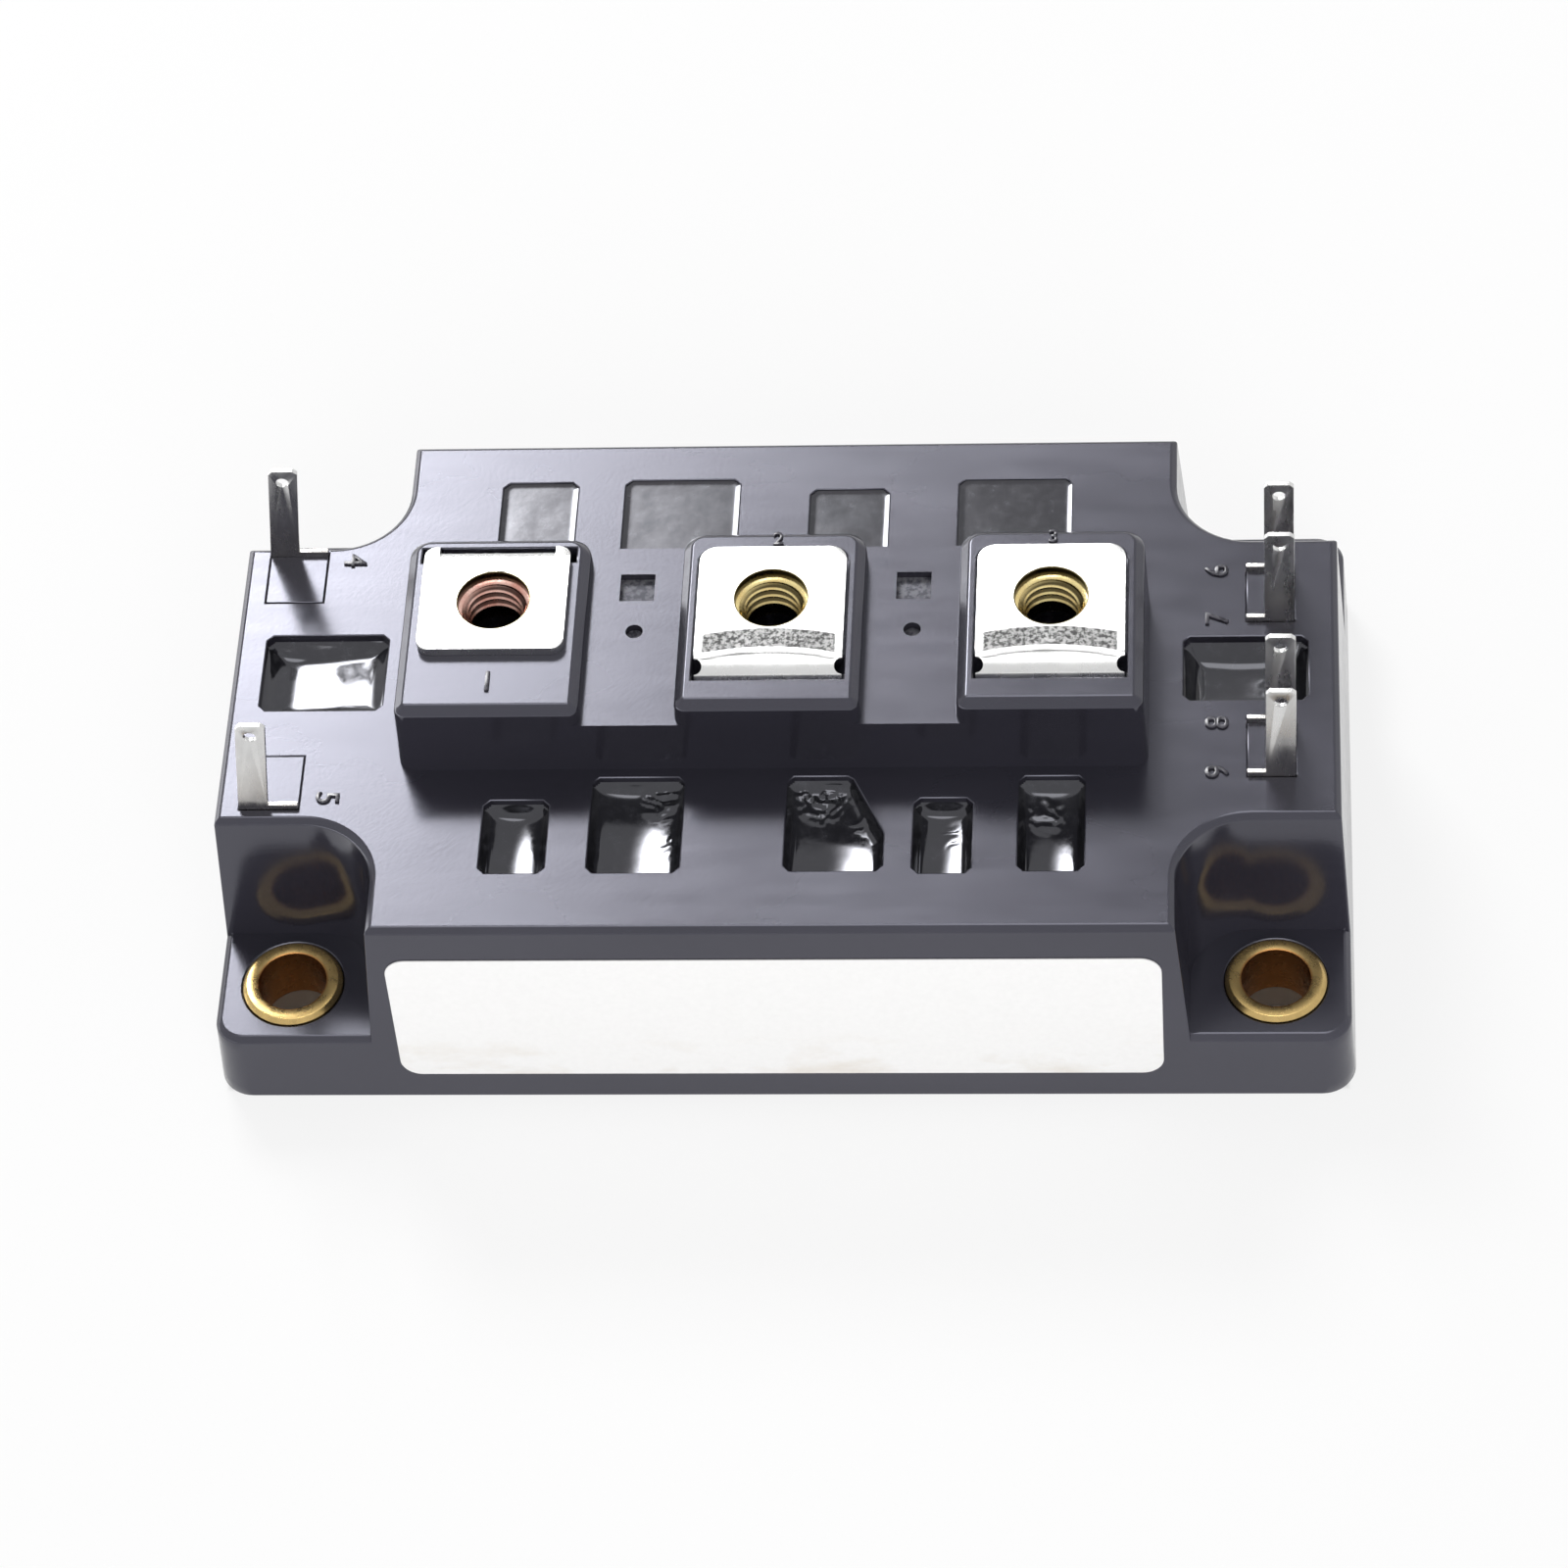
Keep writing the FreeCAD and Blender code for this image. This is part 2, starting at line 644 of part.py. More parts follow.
def front_bent_terminal(index, leg_x0, leg_x1):
    x = terminal_x(index)
    half = PLATE_WIDTH / 2
    section = bent_section(FRONT_BENT_FACE, 1, FRONT_BEND_RADIUS, FRONT_BENT_BACK, NARROW_HEIGHT)
    strip = strip_across(section, x - half, x + half)
    plan = rectangle(x - half, x + half, FRONT_BENT_FACE - OUT, FRONT_BENT_BACK, 0, FRONT_BENT_CORNER)
    strip = strip.common(upright_prism(plan, NARROW_HEIGHT, PLATE_TOP - NARROW_HEIGHT))
    centre_y = FRONT_BENT_FACE + FRONT_BEND_RADIUS
    centre_z = PLATE_TOP - FRONT_BEND_RADIUS
    lean = math.radians(RELIEF_ANGLE)
    outward = Vector(0, -math.sin(lean), math.cos(lean))
    reliefs = []
    for edge in (x - half, x + half):
        centre = Vector(edge, centre_y, centre_z)
        reliefs.append(Part.makeCylinder(RELIEF_RADIUS, FRONT_BEND_RADIUS + OUT, centre, outward))
    leg_back = FRONT_BENT_FACE + PLATE_THICKNESS
    leg = box(leg_x0, leg_x1, FRONT_BENT_FACE, leg_back, ISLAND_TOP, NARROW_HEIGHT)
    foot = foot_box(leg_x0, leg_x1, FRONT_BENT_FACE, 1)
    return fused([strip, leg, foot]).cut(reliefs + [screw_hole(x)])


def left_terminal():
    x = terminal_x(0)
    half = PLATE_WIDTH / 2
    plan = rectangle(x - half, x + half, LEFT_PLATE_FRONT, LEFT_PLATE_BACK, LEFT_PLATE_CORNER)
    plate = upright_prism(plan, SEAT, PLATE_THICKNESS)
    half_leg = LEFT_LEG_WIDTH / 2
    bend_front = LEFT_PLATE_BACK - LEFT_BEND_RADIUS
    plate = plate.cut(box(x - half_leg, x + half_leg, bend_front, LEFT_PLATE_BACK, SEAT, PLATE_TOP))
    section = bent_section(LEFT_PLATE_BACK, -1, LEFT_BEND_RADIUS, bend_front - OUT, NARROW_HEIGHT)
    bent = strip_across(section, x - half_leg, x + half_leg)
    leg_x0, leg_x1 = x - LEG_WIDTH / 2, x + LEG_WIDTH / 2
    leg_front = LEFT_PLATE_BACK - PLATE_THICKNESS
    leg = box(leg_x0, leg_x1, leg_front, LEFT_PLATE_BACK, ISLAND_TOP, NARROW_HEIGHT)
    foot = foot_box(leg_x0, leg_x1, LEFT_PLATE_BACK, -1)
    return fused([plate, bent, leg, foot]).cut(screw_hole(x))


def middle_terminal():
    leg_x0 = terminal_x(1) - PLATE_WIDTH / 2
    return front_bent_terminal(1, leg_x0, leg_x0 + MIDDLE_LEG_WIDTH)


def right_terminal():
    x = terminal_x(2)
    return front_bent_terminal(2, x - LEG_WIDTH / 2, x + LEG_WIDTH / 2)


# Signal tabs

def pad_x():
    """Centre of the solder pads of the tabs, measured outwards from the middle of the module."""
    return TILE_GAP / 2 + TILE_LENGTH - COPPER_MARGIN - PAD_SIZE / 2


def signal_tab(side, centre, wing, lean, y, foot_side):
    """A flat stamping: blade and wing above the case, leg and arm inside it, and a bent foot."""
    half = TAB_WIDTH / 2
    inner, outer = centre - half, centre + half
    wing_end = inner - wing
    shoulder = CASE_HEIGHT + TAB_SHOULDER
    foot_x0, foot_x1 = pad_x() - TAB_LEG_WIDTH / 2, pad_x() + TAB_LEG_WIDTH / 2
    arm_top = TAB_ARM_HEIGHT + TAB_ARM_WIDTH
    tip_in, tip_out = inner - lean, outer - lean
    points = [
        (tip_in, TAB_TIP - TAB_TIP_CHAMFER), (tip_in + TAB_TIP_CHAMFER, TAB_TIP),
        (tip_out - TAB_TIP_CHAMFER, TAB_TIP), (tip_out, TAB_TIP - TAB_TIP_CHAMFER),
        (outer, shoulder), (outer, TAB_LEG_HEIGHT), (wing_end + TAB_LEG_WIDTH, TAB_LEG_HEIGHT),
        (wing_end + TAB_LEG_WIDTH, TAB_ARM_HEIGHT), (foot_x1, TAB_ARM_HEIGHT), (foot_x1, ISLAND_TOP),
        (foot_x0, ISLAND_TOP), (foot_x0, arm_top), (wing_end, arm_top), (wing_end, shoulder),
        (inner, shoulder),
    ]
    wire = outline([(side * u, v, 0) for u, v in points], upright(y - TAB_THICKNESS / 2))
    sheet = Part.Face(wire).extrude(Vector(0, TAB_THICKNESS, 0))
    fall = TAB_TIP - TAB_HOLE_DROP
    hole_x = centre - lean * (fall - shoulder) / (TAB_TIP - shoulder)
    hole_start = Vector(side * hole_x, y - OUT, fall)
    hole = Part.makeCylinder(TAB_HOLE / 2, 2 * OUT, hole_start, Vector(0, 1, 0))
    ends = sorted((y, y + foot_side * (TAB_FOOT_DEPTH + TAB_THICKNESS / 2)))
    xs = sorted((side * foot_x0, side * foot_x1))
    foot = box(xs[0], xs[1], ends[0], ends[1], ISLAND_TOP, ISLAND_TOP + TAB_THICKNESS)
    return fused([sheet, foot]).cut(hole)


def signal_tabs():
    tabs = {}
    for name, share, foot_side in LEFT_TAB_PLACES:
        y = share * NOTCH_Y
        tabs["signal_tab_" + name] = signal_tab(-1, LEFT_TAB_X, LEFT_TAB_WING, LEFT_TAB_LEAN, y, foot_side)
    for name, share, foot_side in RIGHT_TAB_PLACES:
        y = share * NOTCH_Y
        tabs["signal_tab_" + name] = signal_tab(1, RIGHT_TAB_X, RIGHT_TAB_WING, 0.0, y, foot_side)
    return tabs


def tab_blocks():
    """Small blocks that close the openings beside the tabs, flush with the top of the case."""
    tab_face = TAB_THICKNESS / 2
    half = TAB_WIDTH / 2
    left = (-LEFT_TAB_X - half, -LEFT_TAB_X + half + LEFT_TAB_WING)
    right = (RIGHT_TAB_X - half - RIGHT_TAB_WING, RIGHT_TAB_X + half)
    left_back, left_front = [share * NOTCH_Y for _, share, _ in LEFT_TAB_PLACES]
    right_1, right_2, right_3, right_4 = [share * NOTCH_Y for _, share, _ in RIGHT_TAB_PLACES]
    places = {
        "left_back": (*left, left_back - tab_face - LEFT_BLOCK_DEPTH, left_back - tab_face),
        "left_front": (*left, left_front + tab_face, left_front + tab_face + LEFT_BLOCK_DEPTH),
        "right_back": (*right, right_2 + tab_face, right_1 - tab_face),
        "right_front": (*right, right_4 + tab_face, right_3 - tab_face),
    }
    blocks = {}
    for name, (x0, x1, y0, y1) in places.items():
        blocks["tab_block_" + name] = box(x0, x1, y0, y1, CEILING - BLOCK_BELOW, CASE_HEIGHT)
    return blocks


# Circuit

def tile_slab(side, z0, z1, margin=0.0):
    xs = sorted((side * (TILE_GAP / 2 + margin), side * (TILE_GAP / 2 + TILE_LENGTH - margin)))
    half = TILE_WIDTH / 2 - margin
    return box(xs[0], xs[1], -half, half, z0, z1)


def island(side, start, length, y0, y1):
    first = TILE_GAP / 2 + start
    xs = sorted((side * first, side * (first + length)))
    return box(xs[0], xs[1], y0, y1, TILE_TOP, ISLAND_TOP)


def circuit_copper(side, places):
    half = TILE_WIDTH / 2 - COPPER_MARGIN
    islands = [island(side, MAIN_ISLAND_START, MAIN_ISLAND_LENGTH, -half, half),
               island(side, COPPER_MARGIN, SIDE_ISLAND_LENGTH, -half, half)]
    for _, share, foot_side in places:
        y = share * NOTCH_Y
        start = pad_x() - PAD_SIZE / 2 - TILE_GAP / 2
        reach = sorted((y - foot_side * TAB_THICKNESS, y + foot_side * (TAB_FOOT_DEPTH + TAB_THICKNESS)))
        islands.append(island(side, start, PAD_SIZE, reach[0], reach[1]))
    return Part.Compound(islands)


def chip(side, y, size):
    half = size / 2
    return box(side * CHIP_X - half, side * CHIP_X + half, y - half, y + half, ISLAND_TOP, CHIP_TOP)


def strap(side, y, size):
    """An aluminium strap that steps from a chip down to the island beside it."""
    chip_end = CHIP_X - size / 2 + STRAP_INSET
    island_end = TILE_GAP / 2 + COPPER_MARGIN + SIDE_ISLAND_LENGTH - STRAP_INSET
    crest = CHIP_TOP + STRAP_RISE
    t = STRAP_THICKNESS
    corners = [(chip_end, CHIP_TOP, 0), (chip_end - STRAP_RISE, crest, 0),
               (island_end + STRAP_RISE, crest, 0), (island_end, ISLAND_TOP, 0),
               (island_end - STRAP_FOOT, ISLAND_TOP, 0),
               (island_end - STRAP_FOOT, ISLAND_TOP + t, 0), (island_end - t, ISLAND_TOP + t, 0),
               (island_end + STRAP_RISE - t, crest + t, 0), (chip_end - STRAP_RISE + t, crest + t, 0),
               (chip_end + t, CHIP_TOP + t, 0), (chip_end + STRAP_FOOT, CHIP_TOP + t, 0),
               (chip_end + STRAP_FOOT, CHIP_TOP, 0)]
    wire = outline([(side * u, v, r) for u, v, r in corners], upright(y - STRAP_WIDTH / 2))
    return Part.Face(wire).extrude(Vector(0, STRAP_WIDTH, 0))


def bond_straps(side, transistor_y):
    straps = []
    for centre, size, count in ((transistor_y, TRANSISTOR_SIZE, TRANSISTOR_STRAPS),
                                (DIODE_Y, DIODE_SIZE, DIODE_STRAPS)):
        for step in range(count):
            y = centre + (step - (count - 1) / 2) * STRAP_PITCH
            straps.append(strap(side, y, size))
    return Part.Compound(straps)


def link_strip():
    """A bridge-shaped strip from the left main island over to the right side island."""
    left = -(TILE_GAP / 2 + MAIN_ISLAND_START + LINK_FOOT)
    right = TILE_GAP / 2 + COPPER_MARGIN + SIDE_ISLAND_LENGTH / 2 + LINK_FOOT
    t = LINK_THICKNESS
    bend, inner = LINK_BEND_RADIUS, LINK_BEND_RADIUS - LINK_THICKNESS
    low, high = ISLAND_TOP, LINK_HEIGHT
    leg_left, leg_right = left + LINK_FOOT, right - LINK_FOOT
    corners = [(left, low, 0), (leg_left, low, 0),
               (leg_left, high - t, inner), (leg_right, high - t, inner),
               (leg_right, low, 0), (right, low, 0),
               (right, low + t, 0), (leg_right + t, low + t, 0),
               (leg_right + t, high, bend), (leg_left - t, high, bend),
               (leg_left - t, low + t, 0), (left, low + t, 0)]
    wire = outline(corners, upright(LINK_Y - LINK_WIDTH / 2))
    return Part.Face(wire).extrude(Vector(0, LINK_WIDTH, 0))


# Fills

def resin_dish(window):
    """The hollow that cured resin forms in a window as it climbs the walls."""
    rim = CASE_HEIGHT - window.rim_depth
    floor = window_outline(window, RESIN_RIM_WIDTH + RESIN_DISH_SLOPE, 0)
    return tapered(floor, rim - window.dish_depth, window_outline(window, RESIN_RIM_WIDTH, 0), rim)


def potting_resin(inner):
    room = box(-LENGTH, LENGTH, -WIDTH, WIDTH, GEL_LEVEL, CEILING)
    mass = cavity().common(room)
    necks, dishes = [], []
    for window in windows():
        necks.append(window_prism(window, CEILING - OUT, CASE_HEIGHT - window.rim_depth))
        dishes.append(resin_dish(window))
    return mass.fuse(necks).removeSplitter().cut(dishes + inner)


def silicone_gel(inner):
    room = box(-LENGTH, LENGTH, -WIDTH, WIDTH, BASE_THICKNESS, GEL_LEVEL)
    return cavity().common(room).cut(inner)


# Label

def front_label():
    lean = math.radians(OUTER_DRAFT)
    up = Vector(0, math.sin(lean), math.cos(lean))
    foot = Vector(0, -WIDTH / 2, 0) + up * (LABEL_BOTTOM / math.cos(lean))

    def place(u, v):
        return foot + Vector(u, 0, 0) + up * v

    corners = rectangle(-LABEL_LENGTH / 2, LABEL_LENGTH / 2, 0, LABEL_HEIGHT, LABEL_RADIUS)
    outward = Vector(0, -math.cos(lean), math.sin(lean))
    return Part.Face(outline(corners, place)).extrude(outward * LABEL_THICKNESS)


def pieces():
    tabs = signal_tabs()
    blocks = tab_blocks()
    parts = {"base_plate": base_plate(), "front_label": front_label(), "link_strip": link_strip()}
    parts["main_terminal_left"] = left_terminal()
    parts["main_terminal_middle"] = middle_terminal()
    parts["main_terminal_right"] = right_terminal()
    for name, x, y in bush_places():
        parts["bush_" + name] = bush(x, y)
    for index, name in enumerate(("left", "middle", "right")):
        parts["nut_" + name] = nut(index)
    sides = (("left", -1, LEFT_TRANSISTOR_Y, LEFT_TAB_PLACES),
             ("right", 1, RIGHT_TRANSISTOR_Y, RIGHT_TAB_PLACES))
    for name, side, transistor_y, places in sides:
        parts["backing_copper_" + name] = tile_slab(side, BASE_THICKNESS, TILE_BOTTOM, COPPER_MARGIN)
        parts["ceramic_" + name] = tile_slab(side, TILE_BOTTOM, TILE_TOP)
        parts["circuit_copper_" + name] = circuit_copper(side, places)
        parts["transistor_chip_" + name] = chip(side, transistor_y, TRANSISTOR_SIZE)
        parts["diode_chip_" + name] = chip(side, DIODE_Y, DIODE_SIZE)
        parts["bond_straps_" + name] = bond_straps(side, transistor_y)
    parts.update(tabs)
    parts.update(blocks)
    outside = ("base_plate", "front_label", "bush", "nut")
    inner = [shape for name, shape in parts.items() if not name.startswith(outside)]
    parts["potting_resin"] = potting_resin(inner)
    parts["silicone_gel"] = silicone_gel(inner)
    parts["housing"] = housing(tabs, blocks)
    return parts


os.makedirs("parts", exist_ok=True)
for node, shape in pieces().items():
    shape.exportStep("parts/" + node + ".step")
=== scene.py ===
"""Looks for a power module with screw terminals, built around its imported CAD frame.

Sizes in the tables below are millimetres in the frame's own axes, unless a comment says otherwise.
Everything that goes into Blender is metres.
"""
import math

import bpy
from mathutils import Matrix, Vector, noise


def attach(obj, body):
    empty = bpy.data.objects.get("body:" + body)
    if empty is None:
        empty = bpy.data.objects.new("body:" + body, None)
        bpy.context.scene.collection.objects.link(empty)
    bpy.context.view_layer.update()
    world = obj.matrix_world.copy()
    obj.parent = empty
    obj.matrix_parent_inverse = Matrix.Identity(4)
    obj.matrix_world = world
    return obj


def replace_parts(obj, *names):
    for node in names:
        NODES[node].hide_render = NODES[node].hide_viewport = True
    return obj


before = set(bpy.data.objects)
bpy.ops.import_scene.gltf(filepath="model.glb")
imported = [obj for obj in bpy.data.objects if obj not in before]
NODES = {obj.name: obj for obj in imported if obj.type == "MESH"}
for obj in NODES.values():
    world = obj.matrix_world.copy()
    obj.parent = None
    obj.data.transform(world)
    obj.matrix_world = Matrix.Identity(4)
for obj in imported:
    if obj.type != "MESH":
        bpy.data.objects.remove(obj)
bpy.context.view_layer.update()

bl_info = {
    "name": "Power Module",
    "version": (1, 0, 0),
    "blender": (4, 5, 0),
    "location": "3D View > Sidebar > Power Module",
    "description": "Builds the finished look of a screw-terminal power module on its CAD frame",
    "category": "Object",
}

MM = 0.001
BODY = "root"

# Heights of the case
DECK = 24.5
WINDOW_FLOOR = 21.5
PLATE_SEAT = 32.9
TOWER_TOP = 33.5

# Small recesses in the two bridges between the towers
BRIDGE_X = (-13.5, 12.7)
RECESS_HALF = 2.4
RECESS_FRONT, RECESS_BACK = -0.3, 8.0
RECESS_LOW, RECESS_HIGH = 29.5, 31.0

# Heights between which a level face is the pitted floor of such a recess
PITTED_LOW, PITTED_HIGH = 29.2, 30.4

# Mounting holes
HOLE_X, HOLE_Y = 46.5, 24.0
BUSH_BORE = 3.25

# Terminal strips
SIDES = ("left", "middle", "right")
TERMINAL_X = {"left": -26.6, "middle": -0.4, "right": 25.8}
SCREW_Y = 2.1
STRIP_HALF = 6.95
STRIP_HOLE = 3.5

# The two strips with a bend in view: middle between them, half their pitch, how far the marks of
# the bend bow, and where the speckled band with its painted reflection and the crease lie along Y
BENT_MIDDLE_X = (TERMINAL_X["middle"] + TERMINAL_X["right"]) / 2
BENT_HALF_PITCH = (TERMINAL_X["right"] - TERMINAL_X["middle"]) / 2
BEND_BOW = 0.9
SPECKLE_REFLECTION_FRONT, SPECKLE_REFLECTION_BACK = -3.7, -1.7
CREASE_FRONT, CREASE_BACK = -4.55, -4.45

# Nuts: faces, depth of the flared mouth, and radii. Points of the CAD nut within the limit are its
# bore, and they move out to the opened bore and mouth.
NUT_TOP, NUT_BOTTOM = 32.9, 27.9
MOUTH_DEPTH = 0.6
CAD_BORE_LIMIT = 3.3
OPENED_BORE, OPENED_MOUTH = 3.0, 3.55

# Thread: radii, how far its end stays under the nut's face, half width of the ridge at its root
# and at its crest in pitches, and steps in a turn
THREAD_MAJOR, THREAD_MINOR = 3.02, 2.52
THREAD_END = 0.2
THREAD_ROOT, THREAD_CREST = 0.48, 0.07
THREAD_STEPS = 40

# Pouring windows: name, left, right, front, back, drop at the wall, depth, reach of the climb,
# rise of the bowl to the sides, rise of the bowl to the back
WINDOWS = (
    ("front_1", -27.18, -21.10, -22.9, -14.5, 0.60, 2.0, 0.5, 0.60, 0.25),
    ("front_2", -17.09, -8.51, -22.9, -11.9, 0.60, 2.0, 0.5, 0.62, 0.35),
    ("front_3", 1.19, 10.32, -22.8, -11.9, 0.60, 2.0, 0.5, 0.50, 0.35),
    ("front_4", 13.09, 18.52, -23.1, -14.5, 0.60, 2.0, 0.5, 0.42, 0.18),
    ("front_5", 22.79, 28.91, -22.9, -12.0, 0.60, 2.1, 0.5, 0.42, 0.60),
    ("back_1", -28.18, -20.91, 13.0, 24.6, 0.14, 0.21, 0.25, -0.01, 0.02),
    ("back_2", -16.21, -5.08, 13.0, 24.8, 0.14, 0.21, 0.25, -0.01, 0.02),
    ("back_3", 1.89, 9.51, 13.0, 23.4, 0.14, 0.21, 0.25, -0.01, 0.02),
    ("back_4", 16.29, 27.18, 13.0, 24.5, 0.14, 0.21, 0.25, -0.01, 0.02),
    ("side_left", -49.63, -37.91, -3.49, 5.60, 0.90, 2.7, 1.0, 0.05, 0.04),
    ("side_right", 38.02, 49.68, -3.01, 4.61, 0.90, 2.6, 1.2, 0.30, 0.30),
)

# Corner cut of each window, and the long cut at the back right corner of front_3
WINDOW_CORNER = 0.6
CLIP_LENGTH, CLIP_DEPTH = 3.19, 6.54

# Pools of resin: step of the grid, how the climb at the walls fades, share of the bowl's rise that
# the front gets, and the slow swell of the skin
POOL_STEP = 0.18
CLIMB_POWER, CLIMB_RATE = 1.5, 1.6
FRONT_BOWL_SHARE = 0.3
SWELL_MOST, SWELL_SHARE, SWELL_SCALE = 0.03, 0.05, 0.3

# Lean of the pool at the left: to the right, to the front, and up its left wall within a reach
LEAN_RIGHT, LEAN_FRONT = 0.10, 0.042
LEAN_WALL, LEAN_REACH = 0.9, 3.6

# Wrinkles in the resin skin: pool, centre x, centre y, reach, height
WRINKLES = (
    ("front_2", -10.3, -13.2, 3.0, 0.42),
    ("front_2", -9.4, -19.0, 2.0, 0.05),
    ("front_3", 4.2, -13.2, 3.4, 0.42),
    ("front_3", 8.6, -15.6, 2.2, 0.16),
    ("front_4", 16.6, -17.6, 2.2, 0.04),
    ("front_5", 25.2, -15.2, 2.4, 0.26),
    ("side_right", 46.5, 1.0, 2.4, 0.05),
)

# Folds of a wrinkle: scale of the swirl that bends them, their own scale, how far they bend, and
# how narrow they are
SWIRL_SCALE, FOLD_SCALE = 0.55, 0.9
FOLD_BEND, FOLD_SHARPNESS = 1.6, 3

# Raised numbers: text, x, y, height of the face, size of the figure, turn in degrees
MARKS = (
    ("1", -26.6, -7.1, PLATE_SEAT, 2.4, 0),
    ("2", -0.03, 9.45, TOWER_TOP, 1.55, 0),
    ("3", 25.89, 9.45, TOWER_TOP, 1.55, 0),
    ("4", -42.1, 14.86, DECK, 2.3, -90),
    ("5", -42.15, -14.11, DECK, 2.3, -90),
    ("6", 41.27, 12.65, DECK, 2.3, 90),
    ("7", 41.26, 6.72, DECK, 2.3, 90),
    ("8", 41.25, -5.83, DECK, 2.3, 90),
    ("9", 41.24, -11.63, DECK, 2.3, 90),
)

# Text size that makes a figure 1 mm high, and the round on its edges
TEXT_SIZE_OF_FIGURE = 1.35
MARK_ROUND = 0.04

# Edge rounds that no setting holds, and the share of the metal round that the thin tabs get
SMALL_ROUND, LABEL_ROUND, BASE_ROUND = 0.06, 0.03, 0.12
TAB_ROUND_SHARE = 0.8

# Points this near are one, in a CAD mesh and in a figure
CAD_MERGE, TEXT_MERGE = 0.002, 0.001

# Angle in degrees below which two faces shade as one, and the upward part of the normal from which
# a face counts as level
SMOOTH_BELOW = 40
LEVEL_NORMAL = 0.9995

# Camera: place in metres, axes and lens
CAMERA_PLACE = (0.04444, -0.34214, 0.44997)
CAMERA_RIGHT = (0.99672, 0.04465, -0.06757)
CAMERA_UP = (0.00604, 0.79097, 0.61182)
CAMERA_BACK = (0.08076, -0.61022, 0.78810)
CAMERA_LENS = 132.83

# Studio floor: side in metres, gap under the module, half the size of what the module hides, share
# of its white that is its own light, and the part at the left that shiny faces mirror brighter
FLOOR_SIDE = 8.0
FLOOR_GAP = 0.02
HIDDEN_X, HIDDEN_Y = 52.5, 29.5
FLOOR_GLOW = 0.8
LIT_FAR, LIT_NEAR, LIT_MORE = -450, -120, 6.0

# Brightest place of the studio, to the left behind the module, in degrees
GLOW_AZIMUTH, GLOW_ELEVATION = 24, 42

# Strengths of what shiny faces mirror there. The edges of the halo and of its core are cosines of
# the angle from its middle, and those of the overhead patch are cosines of the angle from upright.
HALO_EDGES, HALO_POWER = (0.946, 0.985), 3.8
HALO_LEAST, HALO_MOST = 0.9, 11.0
CORE_EDGES, CORE_MOST = (0.979, 0.993), 16.0
OVERHEAD_EDGES, OVERHEAD_MOST = (0.955, 0.985), 3.0

# Strength of the plain light from all round, which everything else gets
PLAIN_LIGHT = 0.45


class PowerModuleSettings(bpy.types.PropertyGroup):
    """Sizes and colours of the finished module"""

    edge_round: bpy.props.FloatProperty(
        name="Moulded edge round", description="Round on the edges of the case",
        default=0.16 * MM, min=0.0, unit="LENGTH")
    metal_round: bpy.props.FloatProperty(
        name="Metal edge round", description="Round on the edges of plates and tabs",
        default=0.07 * MM, min=0.0, unit="LENGTH")
    seam_round: bpy.props.FloatProperty(
        name="Seam round", description="Round on the small blocks, which opens their seam",
        default=0.10 * MM, min=0.0, unit="LENGTH")
    mark_height: bpy.props.FloatProperty(
        name="Number relief", description="How far the numbers stand up from the case",
        default=0.18 * MM, min=0.0, unit="LENGTH")
    thread_pitch: bpy.props.FloatProperty(
        name="Thread pitch", description="Rise of one turn of the nut's thread",
        default=1.0 * MM, min=0.0003, unit="LENGTH")
    case_colour: bpy.props.FloatVectorProperty(
        name="Case", description="Moulded plastic", subtype="COLOR", size=3,
        default=(0.020, 0.019, 0.026), min=0.0, max=1.0)
    resin_colour: bpy.props.FloatVectorProperty(
        name="Resin", description="Cured potting resin", subtype="COLOR", size=3,
        default=(0.012, 0.012, 0.014), min=0.0, max=1.0)
    tin_colour: bpy.props.FloatVectorProperty(
        name="Tin", description="Plating on plates and tabs", subtype="COLOR", size=3,
        default=(0.76, 0.76, 0.755), min=0.0, max=1.0)
    yellow_colour: bpy.props.FloatVectorProperty(
        name="Yellow zinc", description="Middle and right nut", subtype="COLOR", size=3,
        default=(0.92, 0.78, 0.38), min=0.0, max=1.0)
    copper_colour: bpy.props.FloatVectorProperty(
        name="Reddish zinc", description="Left nut", subtype="COLOR", size=3,
        default=(0.84, 0.56, 0.48), min=0.0, max=1.0)
    gold_colour: bpy.props.FloatVectorProperty(
        name="Bush", description="Plating of the mounting bushes", subtype="COLOR", size=3,
        default=(0.66, 0.47, 0.19), min=0.0, max=1.0)
    label_colour: bpy.props.FloatVectorProperty(
        name="Label", description="Paper of the front label", subtype="COLOR", size=3,
        default=(0.86, 0.855, 0.85), min=0.0, max=1.0)


def settings():
    return bpy.context.scene.power_module


# Modelling

def object_mode():
    if bpy.context.object and bpy.context.object.mode != "OBJECT":
        bpy.ops.object.mode_set(mode="OBJECT")


def nothing_selected():
    object_mode()
    bpy.ops.object.select_all(action="DESELECT")


def only(obj):
    """Leave this object alone selected and active, in object mode."""
    nothing_selected()
    obj.hide_set(False)
    obj.select_set(True)
    bpy.context.view_layer.objects.active = obj


def edit(obj):
    """Leave this object alone selected and active, in edit mode."""
    only(obj)
    bpy.ops.object.mode_set(mode="EDIT")


def named(name):
    """The object that an operator has just added, under its name."""
    obj = bpy.context.object
    obj.name = name
    obj.data.name = name
    return obj


def pick_faces(obj, test):
    """In edit mode, select the faces whose centre and normal pass a test."""
    edit(obj)
    bpy.ops.mesh.select_mode(type="FACE")
    bpy.ops.mesh.select_all(action="DESELECT")
    object_mode()
    for face in obj.data.polygons:
        face.select = bool(test(face.center, face.normal))
    bpy.ops.object.mode_set(mode="EDIT")


def face_outwards():
    """In edit mode, select the whole mesh and turn its faces outwards."""
    bpy.ops.mesh.select_all(action="SELECT")
    bpy.ops.mesh.normals_make_consistent(inside=False)


